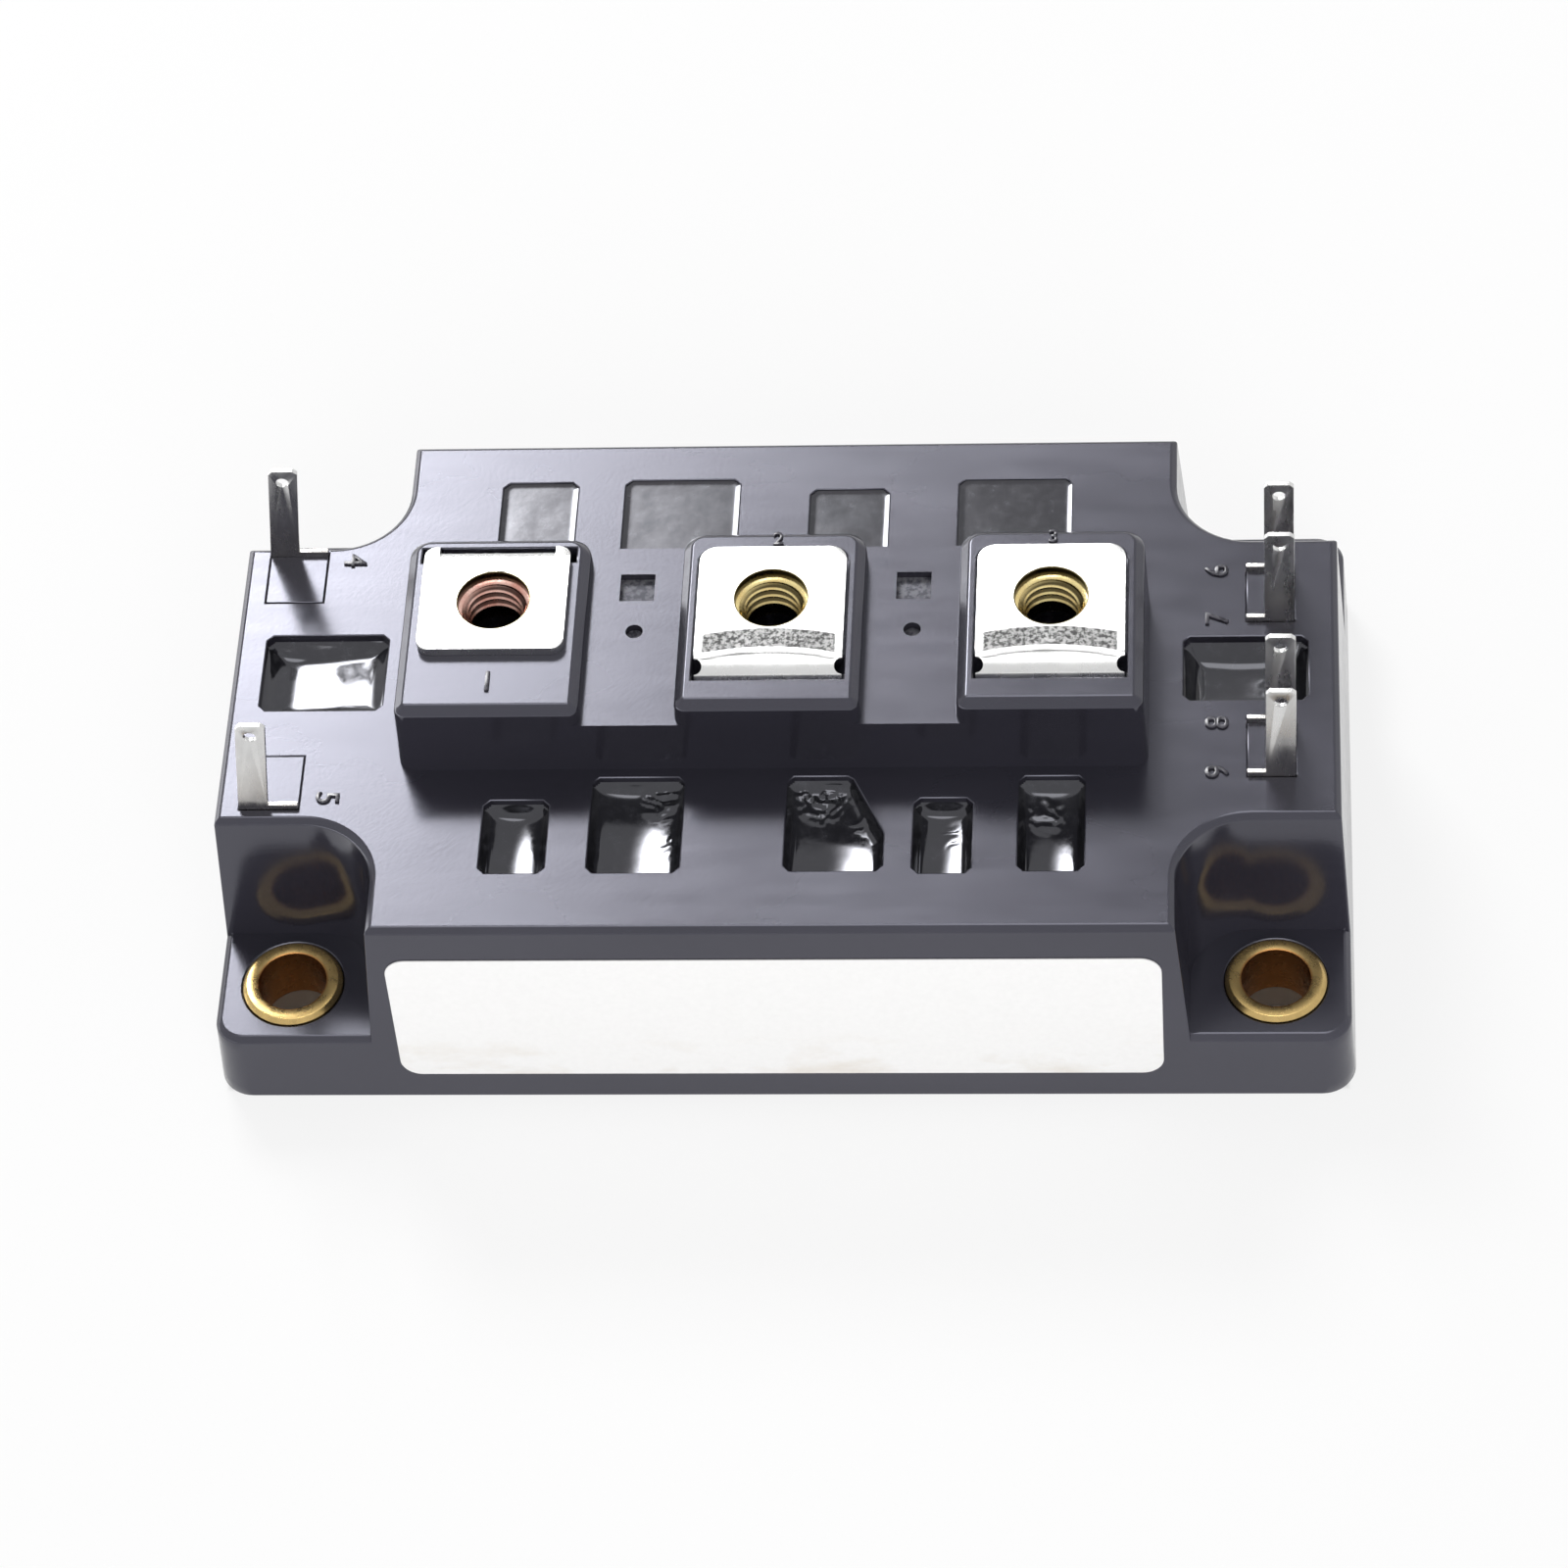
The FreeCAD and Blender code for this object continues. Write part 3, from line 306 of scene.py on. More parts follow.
def apply_modifier(obj, kind, **values):
    """Add a modifier with these values and apply it."""
    only(obj)
    modifier = obj.modifiers.new(kind.title(), kind)
    for key, value in values.items():
        setattr(modifier, key, value)
    bpy.ops.object.modifier_apply(modifier=modifier.name)


def smooth(obj, angle):
    """Shade smooth where faces meet at less than this angle, in degrees."""
    only(obj)
    bpy.ops.object.shade_smooth_by_angle(angle=math.radians(angle))


def shade(obj, crisp=False):
    """Shade smooth, with the normals led by the large faces. Crisp keeps level faces flat."""
    smooth(obj, SMOOTH_BELOW)
    if crisp:
        pick_faces(obj, lambda centre, normal: normal.z > LEVEL_NORMAL)
        bpy.ops.mesh.region_to_loop()
        bpy.ops.mesh.mark_sharp()
        object_mode()
    apply_modifier(obj, "WEIGHTED_NORMAL", mode="FACE_AREA", weight=50, keep_sharp=True,
                   use_face_influence=True)


def outer_edges(obj):
    """Whether each edge of a mesh stands out: True for a ridge, False for an inner corner."""
    points = obj.data.vertices
    normals = {}
    for face in obj.data.polygons:
        corners = list(face.vertices)
        for start, end in zip(corners, corners[1:] + corners[:1]):
            normals[start, end] = face.normal
    found = []
    for edge in obj.data.edges:
        a, b = edge.vertices
        first, second = normals.get((a, b)), normals.get((b, a))
        along = points[b].co - points[a].co
        found.append(bool(first and second) and first.cross(second).dot(along) > 0)
    return found


def round_edges(obj, width, segments=2, angle=30, leave=None):
    """Round the ridges of a piece, except those whose middle passes the test."""
    edit(obj)
    bpy.ops.mesh.select_mode(type="EDGE")
    bpy.ops.mesh.select_all(action="DESELECT")
    bpy.ops.mesh.edges_select_sharp(sharpness=math.radians(angle))
    object_mode()
    points = obj.data.vertices
    for edge, ridge in zip(obj.data.edges, outer_edges(obj)):
        first, second = edge.vertices
        if not ridge or leave and leave((points[first].co + points[second].co) / (2 * MM)):
            edge.select = False
    bpy.ops.object.mode_set(mode="EDIT")
    bpy.ops.mesh.bevel(offset=width, segments=segments, affect="EDGES", clamp_overlap=False,
                       loop_slide=False, miter_outer="ARC", face_strength_mode="ALL")
    object_mode()


def copy_of(node, name):
    """A copy of a CAD mesh with its loose triangles joined at their edges."""
    obj = bpy.data.objects.new(name, NODES[node].data.copy())
    obj.data.name = name
    obj.data.materials.clear()
    bpy.context.scene.collection.objects.link(obj)
    edit(obj)
    bpy.ops.mesh.customdata_custom_splitnormals_clear()
    bpy.ops.mesh.select_all(action="SELECT")
    bpy.ops.mesh.remove_doubles(threshold=CAD_MERGE * MM)
    object_mode()
    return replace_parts(obj, node)


def dress(obj, finish):
    """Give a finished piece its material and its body."""
    obj.data.materials.clear()
    obj.data.materials.append(finish)
    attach(obj, BODY)


# Materials

def material(name):
    """A new material with a Principled shader, and the tools to add nodes to it."""
    made = bpy.data.materials.new(name)
    made.use_nodes = True
    tree = made.node_tree
    tree.nodes.clear()
    output = tree.nodes.new("ShaderNodeOutputMaterial")
    shader = tree.nodes.new("ShaderNodeBsdfPrincipled")
    tree.links.new(shader.outputs[0], output.inputs[0])
    return made, Nodes(tree), shader


def darker(colour, share):
    """This share of a colour, which is lighter when the share is over 1."""
    return tuple(channel * share for channel in colour)


class Nodes:
    """Adds shader nodes to one tree and links them."""

    def __init__(self, tree):
        self.tree = tree
        self.coordinates = None

    def add(self, kind, **values):
        """A new node of this kind, with these settings."""
        node = self.tree.nodes.new("ShaderNode" + kind)
        for key, value in values.items():
            setattr(node, key, value)
        return node

    def feed(self, node, **inputs):
        """Set or link inputs by name, with underscores for spaces, or by _ and a number."""
        for key, value in inputs.items():
            socket = node.inputs[int(key[1:]) if key[0] == "_" else key.replace("_", " ")]
            if isinstance(value, bpy.types.NodeSocket):
                self.tree.links.new(value, socket)
            else:
                socket.default_value = value
        return node

    def place(self):
        """Object coordinates, in metres."""
        if self.coordinates is None:
            self.coordinates = self.add("TexCoord").outputs["Object"]
        return self.coordinates

    def axis(self, name):
        """One of the object coordinates."""
        node = self.feed(self.add("SeparateXYZ"), Vector=self.place())
        return node.outputs[name]

    def noise(self, scale, detail, roughness=0.6, stretch=(1, 1, 1)):
        """Noise on the object coordinates. A small stretch draws it out along that axis."""
        spaced = self.feed(self.add("Mapping"), Vector=self.place(), Scale=stretch)
        node = self.feed(self.add("TexNoise"), Vector=spaced.outputs[0], Scale=scale,
                         Detail=detail, Roughness=roughness)
        return node.outputs["Fac"]

    def spread(self, value, low, high, start=0.3, end=0.7, smooth=False):
        """Carry the range from start to end over to the range from low to high."""
        node = self.add("MapRange", interpolation_type="SMOOTHSTEP" if smooth else "LINEAR")
        self.feed(node, Value=value, From_Min=start, From_Max=end, To_Min=low, To_Max=high)
        return node.outputs[0]

    def fade(self, place, low, high, start, end, smooth=False):
        """Like spread, for a place whose start and end are millimetres."""
        return self.spread(place, low, high, start * MM, end * MM, smooth)

    def band(self, place, low, high, soft):
        """1 from low to high in millimetres, falling to 0 over soft on both sides."""
        up = self.fade(place, 0.0, 1.0, low - soft, low, smooth=True)
        down = self.fade(place, 1.0, 0.0, high, high + soft, smooth=True)
        return self.math("MULTIPLY", up, down)

    def math(self, operation, a, b=0.0):
        """One step of arithmetic on numbers or sockets."""
        node = self.feed(self.add("Math", operation=operation), _0=a, _1=b)
        return node.outputs[0]

    def length(self, x, y):
        """Distance that lies this far along x and along y."""
        squares = self.math("ADD", self.math("MULTIPLY", x, x), self.math("MULTIPLY", y, y))
        return self.math("SQRT", squares)

    def from_screw(self):
        """Distance from the axis of the nearest terminal screw, in metres."""
        aside = self.math("SUBTRACT", self.axis("X"), TERMINAL_X["middle"] * MM)
        wrap = self.feed(self.add("Math", operation="WRAP"), _0=aside,
                         _1=BENT_HALF_PITCH * MM, _2=-BENT_HALF_PITCH * MM)
        along = self.math("SUBTRACT", self.axis("Y"), SCREW_Y * MM)
        return self.length(wrap.outputs[0], along)

    def mix(self, share, a, b):
        """Blend two colours, each a socket or three numbers."""
        a, b = (each if isinstance(each, bpy.types.NodeSocket) else (*each, 1.0)
                for each in (a, b))
        node = self.feed(self.add("Mix", data_type="RGBA"), _0=share, _6=a, _7=b)
        return node.outputs[2]

    def mottled(self, value, colour, share):
        """A colour that drifts to a darker or lighter share of itself."""
        return self.mix(self.spread(value, 0, 1), colour, darker(colour, share))

    def bump(self, height, strength, distance, under=None):
        """Relief with its distance in millimetres, over the relief that is under it."""
        node = self.feed(self.add("Bump"), Height=height, Strength=strength,
                         Distance=distance * MM)
        if under is not None:
            self.feed(node, Normal=under)
        return node.outputs[0]


def case_plastic(colour):
    """Satin moulded plastic: faint flow clouds, a fine spark texture and wiping marks.

    It is duller on top than on the walls, and the floors of the bridge recesses are pitted.
    """
    made, nodes, shader = material("case_plastic")
    clouds = nodes.noise(scale=45, detail=4, roughness=0.55, stretch=(0.6, 1, 1))
    grain = nodes.noise(scale=2600, detail=2)
    wipes = nodes.noise(scale=520, detail=5, roughness=0.65, stretch=(0.22, 1, 1))
    pits = nodes.noise(scale=1500, detail=3)
    normal = nodes.feed(nodes.add("SeparateXYZ"), Vector=nodes.add("NewGeometry").outputs["Normal"])
    upward = normal.outputs["Z"]
    level = nodes.spread(upward, 0.0, 1.0, 0.90, 0.95)
    at_floor = nodes.band(nodes.axis("Z"), PITTED_LOW, PITTED_HIGH, 0.1)
    recess = nodes.math("MULTIPLY", at_floor, level)

    base = nodes.mix(nodes.spread(clouds, 0, 1), darker(colour, 0.85), darker(colour, 1.25))
    pitted = nodes.mix(nodes.spread(pits, 0, 1, 0.42, 0.58), darker(colour, 0.3),
                       (0.11, 0.11, 0.12))
    base = nodes.mix(recess, base, pitted)

    rough = nodes.math("ADD", nodes.spread(clouds, 0.0, 0.05), nodes.spread(wipes, -0.01, 0.05))
    rough = nodes.math("ADD", rough, nodes.spread(upward, 0.09, 0.16, 0.3, 0.8))
    rough = nodes.math("ADD", rough, nodes.math("MULTIPLY", recess, 0.40))
    relief = nodes.bump(grain, strength=0.14, distance=0.02)
    relief = nodes.bump(wipes, strength=0.06, distance=0.03, under=relief)
    nodes.feed(shader, Base_Color=base, Roughness=rough, Specular_IOR_Level=0.82,
               Specular_Tint=(0.84, 0.85, 1.0, 1.0), Normal=relief)
    return made


def mark_plastic(colour):
    """The same plastic on the raised numbers, a little polished."""
    made, nodes, shader = material("mark_plastic")
    grain = nodes.noise(scale=1800, detail=2)
    nodes.feed(shader, Base_Color=nodes.mottled(grain, colour, 1.6),
               Roughness=nodes.spread(grain, 0.22, 0.34),
               Normal=nodes.bump(grain, strength=0.1, distance=0.02))
    return made


def resin(colour):
    """Glossy cured resin with a faintly uneven skin and dull dusty patches."""
    made, nodes, shader = material("cured_resin")
    skin = nodes.noise(scale=320, detail=3, roughness=0.5)
    dust = nodes.noise(scale=900, detail=4, roughness=0.7)
    base = nodes.mix(nodes.spread(dust, 0, 1, 0.5, 0.75), colour, darker(colour, 2.4))
    nodes.feed(shader, Base_Color=base, Roughness=nodes.spread(dust, 0.06, 0.16, 0.35, 0.8),
               Specular_IOR_Level=0.8, Specular_Tint=(0.90, 0.91, 1.0, 1.0),
               Normal=nodes.bump(skin, strength=0.10, distance=0.10))
    return made


def tin(colour):
    """Tinned copper: satin, streaked along the strip, dull and speckled where it was bent.

    A band before the bend is darkened as a painted reflection, and the leg as painted shade.
    """
    made, nodes, shader = material("tin_plating")
    streaks = nodes.noise(scale=420, detail=4, stretch=(1, 0.3, 1))
    crystals = nodes.noise(scale=2300, detail=3, roughness=0.65)
    clouds = nodes.noise(scale=110, detail=3)
    height = nodes.axis("Z")

    # Distance across from the middle of the nearest bent strip, and along it without the bow
    aside = nodes.math("SUBTRACT", nodes.axis("X"), BENT_MIDDLE_X * MM)
    aside = nodes.math("SUBTRACT", nodes.math("ABSOLUTE", aside), BENT_HALF_PITCH * MM)
    aside = nodes.math("ABSOLUTE", aside)
    bow = nodes.math("POWER", nodes.fade(aside, 0.0, 1.0, 0.0, STRIP_HALF), 2.0)
    bow = nodes.math("MULTIPLY", bow, -BEND_BOW * MM)
    along = nodes.math("SUBTRACT", nodes.axis("Y"), bow)

    # The marks of the bend end before the strip's edges, and the leg under them is dull, with
    # painted shade all over
    within = nodes.fade(aside, 1.0, 0.0, STRIP_HALF - 0.9, STRIP_HALF - 0.4, smooth=True)
    on_top = nodes.fade(height, 0.0, 1.0, TOWER_TOP - 1.3, TOWER_TOP - 1.0)
    within = nodes.math("MULTIPLY", within, on_top)
    # Speckled band before the crease, darkened as a painted reflection of darker surroundings
    speckle_reflection_band = nodes.band(along, SPECKLE_REFLECTION_FRONT, SPECKLE_REFLECTION_BACK, 0.3)
    speckle_reflection_band = nodes.math("MULTIPLY", speckle_reflection_band, within)
    crease = nodes.math("MULTIPLY", nodes.band(along, CREASE_FRONT, CREASE_BACK, 0.12), within)
    # Painted shade on the leg, which stands in the narrow gap under the bend
    shaded_leg = nodes.fade(height, 0.85, 0.0, TOWER_TOP - 2.4, TOWER_TOP - 0.9, smooth=True)
    speckle_and_painted_dark = nodes.math("MAXIMUM", speckle_reflection_band, shaded_leg)
    hole = nodes.fade(nodes.from_screw(), 1.0, 0.0, STRIP_HOLE, STRIP_HOLE + 0.06)

    # Dark speckled tin paints the band's reflection and the leg's shade
    speckled_dark_tin = nodes.mix(nodes.spread(crystals, 0, 1, 0.42, 0.58), darker(colour, 0.34),
                            darker(colour, 0.07))
    base = nodes.mix(speckle_and_painted_dark, nodes.mottled(clouds, colour, 0.93), speckled_dark_tin)
    base = nodes.mix(nodes.math("MULTIPLY", crease, 0.7), base, darker(colour, 0.16))
    base = nodes.mix(hole, base, (0.10, 0.085, 0.045))
    rough = nodes.math("ADD", nodes.spread(streaks, 0.20, 0.34), nodes.math("MULTIPLY", speckle_and_painted_dark, 0.30))
    relief = nodes.bump(crystals, strength=0.12, distance=0.02)
    nodes.feed(shader, Base_Color=base, Metallic=1.0, Roughness=rough,
               Normal=nodes.bump(streaks, strength=0.10, distance=0.05, under=relief))
    return made


def tab_tin(colour):
    """Tin on the flat tabs: brighter at the tip, greyer and warmer towards the case."""
    made, nodes, shader = material("tab_tin")
    streaks = nodes.noise(scale=800, detail=4, stretch=(1, 1, 0.25))
    clouds = nodes.noise(scale=240, detail=3)
    low = nodes.fade(nodes.axis("Z"), 1.0, 0.0, DECK + 0.5, DECK + 10.5, smooth=True)
    base = nodes.mix(nodes.math("MULTIPLY", low, 0.5), nodes.mottled(clouds, colour, 0.85),
                     (0.50, 0.46, 0.42))
    nodes.feed(shader, Base_Color=base, Metallic=1.0, Roughness=nodes.spread(streaks, 0.20, 0.36),
               Normal=nodes.bump(streaks, strength=0.12, distance=0.04))
    return made


def zinc(name, colour, tint_and_shade):
    """Zinc plating with a passivated tint that drifts in hue, with painted shade in the thread."""
    made, nodes, shader = material(name)
    drift = nodes.noise(scale=500, detail=3)
    grain = nodes.noise(scale=3000, detail=2, roughness=0.5)
    height = nodes.axis("Z")

    # Painted shade between the ridges below the flared mouth, and deeper shade with depth
    valley = nodes.fade(nodes.from_screw(), 0.0, 1.0, THREAD_MINOR + 0.1, THREAD_MINOR + 0.2)
    below = nodes.fade(height, 1.0, 0.0, NUT_TOP - MOUTH_DEPTH, NUT_TOP - 0.2)
    deep = nodes.fade(height, 0.6, 0.0, NUT_BOTTOM + 0.6, NUT_TOP - 0.5)
    shadowed = nodes.math("MAXIMUM", nodes.math("MULTIPLY", valley, below), deep)

    base = nodes.mix(nodes.spread(drift, 0, 1), colour, tint_and_shade)
    # The tint turns nearly black where this shade is painted
    base = nodes.mix(nodes.math("MULTIPLY", shadowed, 0.92), base, darker(tint_and_shade, 0.04))
    nodes.feed(shader, Base_Color=base, Metallic=1.0, Roughness=nodes.spread(grain, 0.20, 0.34),
               Normal=nodes.bump(grain, strength=0.12, distance=0.02))
    return made


def bush_gold(colour):
    """Plated bush: bright rim, brown turned bore with fine rings."""
    made, nodes, shader = material("bush_gold")
    wear = nodes.noise(scale=700, detail=4)
    rings = nodes.noise(scale=1500, detail=2, roughness=0.5, stretch=(0.05, 0.05, 1))
    across = nodes.math("SUBTRACT", nodes.math("ABSOLUTE", nodes.axis("X")), HOLE_X * MM)
    along = nodes.math("SUBTRACT", nodes.math("ABSOLUTE", nodes.axis("Y")), HOLE_Y * MM)
    bore = nodes.fade(nodes.length(across, along), 1.0, 0.0, BUSH_BORE + 0.05, BUSH_BORE + 0.25)
    base = nodes.mix(bore, nodes.mottled(wear, colour, 0.78), (0.44, 0.21, 0.07))
    nodes.feed(shader, Base_Color=base, Metallic=1.0, Roughness=nodes.spread(wear, 0.20, 0.36),
               Normal=nodes.bump(rings, strength=0.15, distance=0.03))
    return made


def label_paper(colour):
    """White film label: faint fibre, beige smudges near the lower edge."""
    made, nodes, shader = material("label_paper")
    fibre = nodes.noise(scale=1600, detail=3)
    smudge = nodes.noise(scale=95, detail=4, stretch=(1, 1, 2.2))
    low = nodes.fade(nodes.axis("Z"), 1.0, 0.0, 4, 11, smooth=True)
    tint_and_shade = nodes.math("MULTIPLY", low, nodes.spread(smudge, 0, 0.55, 0.5, 0.72))
    base = nodes.mix(tint_and_shade, nodes.mottled(fibre, colour, 0.97), (0.62, 0.55, 0.45))
    nodes.feed(shader, Base_Color=base, Roughness=nodes.spread(fibre, 0.38, 0.50),
               Normal=nodes.bump(fibre, strength=0.06, distance=0.02))
    return made


def milled_nickel():
    """Nickel-plated base plate with fine milling lines along its length."""
    made, nodes, shader = material("milled_nickel")
    lines = nodes.noise(scale=2200, detail=2, roughness=0.5, stretch=(0.03, 1, 1))
    clouds = nodes.noise(scale=60, detail=4)
    base = nodes.mix(nodes.spread(clouds, 0, 1), (0.62, 0.60, 0.56), (0.52, 0.49, 0.45))
    nodes.feed(shader, Base_Color=base, Metallic=1.0, Roughness=nodes.spread(clouds, 0.26, 0.38),
               Normal=nodes.bump(lines, strength=0.20, distance=0.03))
    return made


def inner_metal(name, colour, scale, roughness):
    """Bare metal of a part held inside, a little tarnished."""
    made, nodes, shader = material(name)
    tarnish = nodes.noise(scale=scale, detail=4)
    nodes.feed(shader, Base_Color=nodes.mottled(tarnish, colour, 0.7), Metallic=1.0,
               Roughness=nodes.spread(tarnish, roughness, roughness + 0.15),
               Normal=nodes.bump(tarnish, strength=0.1, distance=0.03))
    return made


def inner_solid(name, colour, scale, roughness, clear=0.0):
    """Ceramic, silicon or gel of a part held inside."""
    made, nodes, shader = material(name)
    mottle = nodes.noise(scale=scale, detail=4)
    nodes.feed(shader, Base_Color=nodes.mottled(mottle, colour, 0.9),
               Roughness=nodes.spread(mottle, roughness, roughness + 0.1),
               Transmission_Weight=clear,
               Normal=nodes.bump(mottle, strength=0.06, distance=0.03))
    return made


def studio_floor():
    """Pale floor: white to the eye and in reflections, and it still takes the shadow.

    What the module hides of it stays dark, and shiny faces mirror its left part brighter.
    """
    made, nodes, shader = material("studio_floor")
    paper = nodes.noise(scale=3, detail=3, roughness=0.5)
    base = nodes.mix(nodes.spread(paper, 0, 1), (0.80, 0.80, 0.80), (0.82, 0.82, 0.82))
    nodes.feed(shader, Base_Color=base, Roughness=0.9, Specular_IOR_Level=0.1)
    path = nodes.add("LightPath")
    seen = nodes.math("MAXIMUM", path.outputs["Is Camera Ray"], path.outputs["Is Glossy Ray"])
    seen = nodes.math("MAXIMUM", seen, path.outputs["Is Transmission Ray"])
    x, y = nodes.axis("X"), nodes.axis("Y")
    beside = nodes.fade(nodes.math("ABSOLUTE", x), 0.0, 1.0, HIDDEN_X, HIDDEN_X + 1)
    before = nodes.fade(nodes.math("ABSOLUTE", y), 0.0, 1.0, HIDDEN_Y, HIDDEN_Y + 1)
    seen = nodes.math("MULTIPLY", seen, nodes.math("MAXIMUM", beside, before))
    lit_left = nodes.math("MULTIPLY", nodes.fade(x, LIT_MORE, 0.0, LIT_FAR, LIT_NEAR),
                          path.outputs["Is Glossy Ray"])
    glow = nodes.feed(nodes.add("Emission"), Color=(1, 1, 1, 1),
                      Strength=nodes.math("ADD", lit_left, 1.0))
    blend = nodes.feed(nodes.add("MixShader"), _0=nodes.math("MULTIPLY", seen, FLOOR_GLOW),
                       _1=shader.outputs[0], _2=glow.outputs[0])
    output = next(node for node in nodes.tree.nodes if node.type == "OUTPUT_MATERIAL")
    nodes.tree.links.new(blend.outputs[0], output.inputs[0])
    return made


# Pieces

def in_bridge_recess(point):
    """Whether a point lies at one of the small square or round recesses between the towers."""
    aside = min(abs(point.x - each) for each in BRIDGE_X)
    return (aside < RECESS_HALF and RECESS_FRONT < point.y < RECESS_BACK
            and RECESS_LOW < point.z < RECESS_HIGH)


def window_sides(window):
    """The sides of a pouring window as (point, inward direction), in millimetres.

    The four straight sides come first, then the cuts across the corners.
    """
    name, x0, x1, y0, y1 = window[:5]
    sides = [((x0, y0), (1, 0)), ((x1, y1), (-1, 0)), ((x0, y0), (0, 1)), ((x1, y1), (0, -1))]
    for x, y, sx, sy in ((x0, y0, 1, 1), (x1, y0, -1, 1), (x0, y1, 1, -1), (x1, y1, -1, -1)):
        if name == "front_3" and (x, y) == (x1, y1):
            steep = Vector((-CLIP_DEPTH, -CLIP_LENGTH)).normalized()
            sides.append(((x - CLIP_LENGTH, y), tuple(steep)))
        else:
            slant = (sx * math.sqrt(0.5), sy * math.sqrt(0.5))
            sides.append(((x + sx * WINDOW_CORNER, y), slant))
    return sides


def wrinkle(name, x, y):
    """Height of the wrinkled skin at a point of a pool."""
    total = 0.0
    for pool, cx, cy, reach, height in WRINKLES:
        if pool == name:
            near = max(0.0, 1 - math.hypot(x - cx, y - cy) / reach)
            if near > 0:
                swirl = noise.noise(Vector((x * SWIRL_SCALE, y * SWIRL_SCALE, cx)))
                bent = Vector((x * FOLD_SCALE + swirl * FOLD_BEND, y * FOLD_SCALE, cy))
                folds = 1 - abs(noise.noise(bent)) * FOLD_SHARPNESS
                total += height * near * near * (3 - 2 * near) * max(0.0, folds)
    return total


def resin_height(window, x, y, edge):
    """Height of the resin: a shallow bowl that climbs steeply at the walls."""
    name, x0, x1, y0, y1, drop, depth, reach, bowl_x, bowl_y = window
    wall, floor = DECK - drop, DECK - depth
    climb = math.exp(-((max(edge, 0.0) / reach) ** CLIMB_POWER) * CLIMB_RATE)
    across = (2 * x - x0 - x1) / (x1 - x0)
    along = (2 * y - y0 - y1) / (y1 - y0)
    if along <= 0:
        bowl_y *= FRONT_BOWL_SHARE
    bowl = bowl_x * across ** 2 + bowl_y * along ** 2
    swell = min(SWELL_MOST, SWELL_SHARE * depth)
    swell *= noise.noise(Vector((x * SWELL_SCALE, y * SWELL_SCALE, depth * 7)))
    lean = 0.0
    if name == "side_left":
        at_wall = max(0.0, 1 - (x - x0) / LEAN_REACH)
        lean = LEAN_RIGHT * (x - x0) + LEAN_FRONT * (y1 - y) + LEAN_WALL * at_wall ** 2
    skin = bowl + swell + lean + wrinkle(name, x, y)
    return floor + (wall - floor) * climb + (1 - climb) * skin


def build_pool(window):
    """One pool of resin: a sheet shaped to the window, raised at the walls, then made solid."""
    name, x0, x1, y0, y1 = window[:5]
    nothing_selected()
    bpy.ops.mesh.primitive_grid_add(
        x_subdivisions=int((x1 - x0) / POOL_STEP), y_subdivisions=int((y1 - y0) / POOL_STEP),
        size=1.0, location=((x0 + x1) / 2 * MM, (y0 + y1) / 2 * MM, DECK * MM))
    obj = named("resin_pool_" + name)
    obj.scale = ((x1 - x0) * MM, (y1 - y0) * MM, 1.0)
    bpy.ops.object.transform_apply(location=True, rotation=False, scale=True)
    sides = window_sides(window)
    edit(obj)
    for (px, py), (nx, ny) in sides[4:]:
        bpy.ops.mesh.select_all(action="SELECT")
        bpy.ops.mesh.bisect(plane_co=(px * MM, py * MM, 0), plane_no=(nx, ny, 0), clear_inner=True)
    object_mode()
    for vertex in obj.data.vertices:
        x, y = vertex.co.x / MM, vertex.co.y / MM
        edge = min((x - px) * nx + (y - py) * ny for (px, py), (nx, ny) in sides)
        vertex.co.z = resin_height(window, x, y, edge) * MM
    edit(obj)
    bpy.ops.mesh.select_all(action="SELECT")
    bpy.ops.mesh.extrude_region_move(TRANSFORM_OT_translate={"value": (0, 0, -1 * MM)})
    bpy.ops.transform.resize(value=(1, 1, 0), center_override=(0, 0, WINDOW_FLOOR * MM))
    face_outwards()
    smooth(obj, 50)
    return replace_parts(obj, "potting_resin")


def build_thread(name, x):
    """The helical ridge in the bore of a nut, which ends just under its top."""
    pitch = settings().thread_pitch
    turns = int((NUT_TOP - NUT_BOTTOM) * MM / pitch) - 1
    start = (NUT_TOP - THREAD_END) * MM - turns * pitch
    root, crest = THREAD_ROOT * pitch, THREAD_CREST * pitch
    major, minor = THREAD_MAJOR * MM, THREAD_MINOR * MM
    nothing_selected()
    bpy.ops.mesh.primitive_circle_add(vertices=4, radius=1.0, fill_type="NOTHING",
                                      location=(0, 0, 0))
    obj = named(name)
    corners = ((major, -root), (minor, -crest), (minor, crest), (major, root))
    for vertex, (radius, height) in zip(obj.data.vertices, corners):
        vertex.co = (radius, 0.0, height + start)
    apply_modifier(obj, "SCREW", axis="Z", screw_offset=pitch, iterations=turns,
                   steps=THREAD_STEPS, render_steps=THREAD_STEPS, use_smooth_shade=True,
                   use_merge_vertices=False)
    edit(obj)
    bpy.ops.mesh.select_all(action="SELECT")
    bpy.ops.mesh.fill_holes(sides=0)
    face_outwards()
    bpy.ops.transform.translate(value=(x * MM, SCREW_Y * MM, 0))
    object_mode()
    return obj


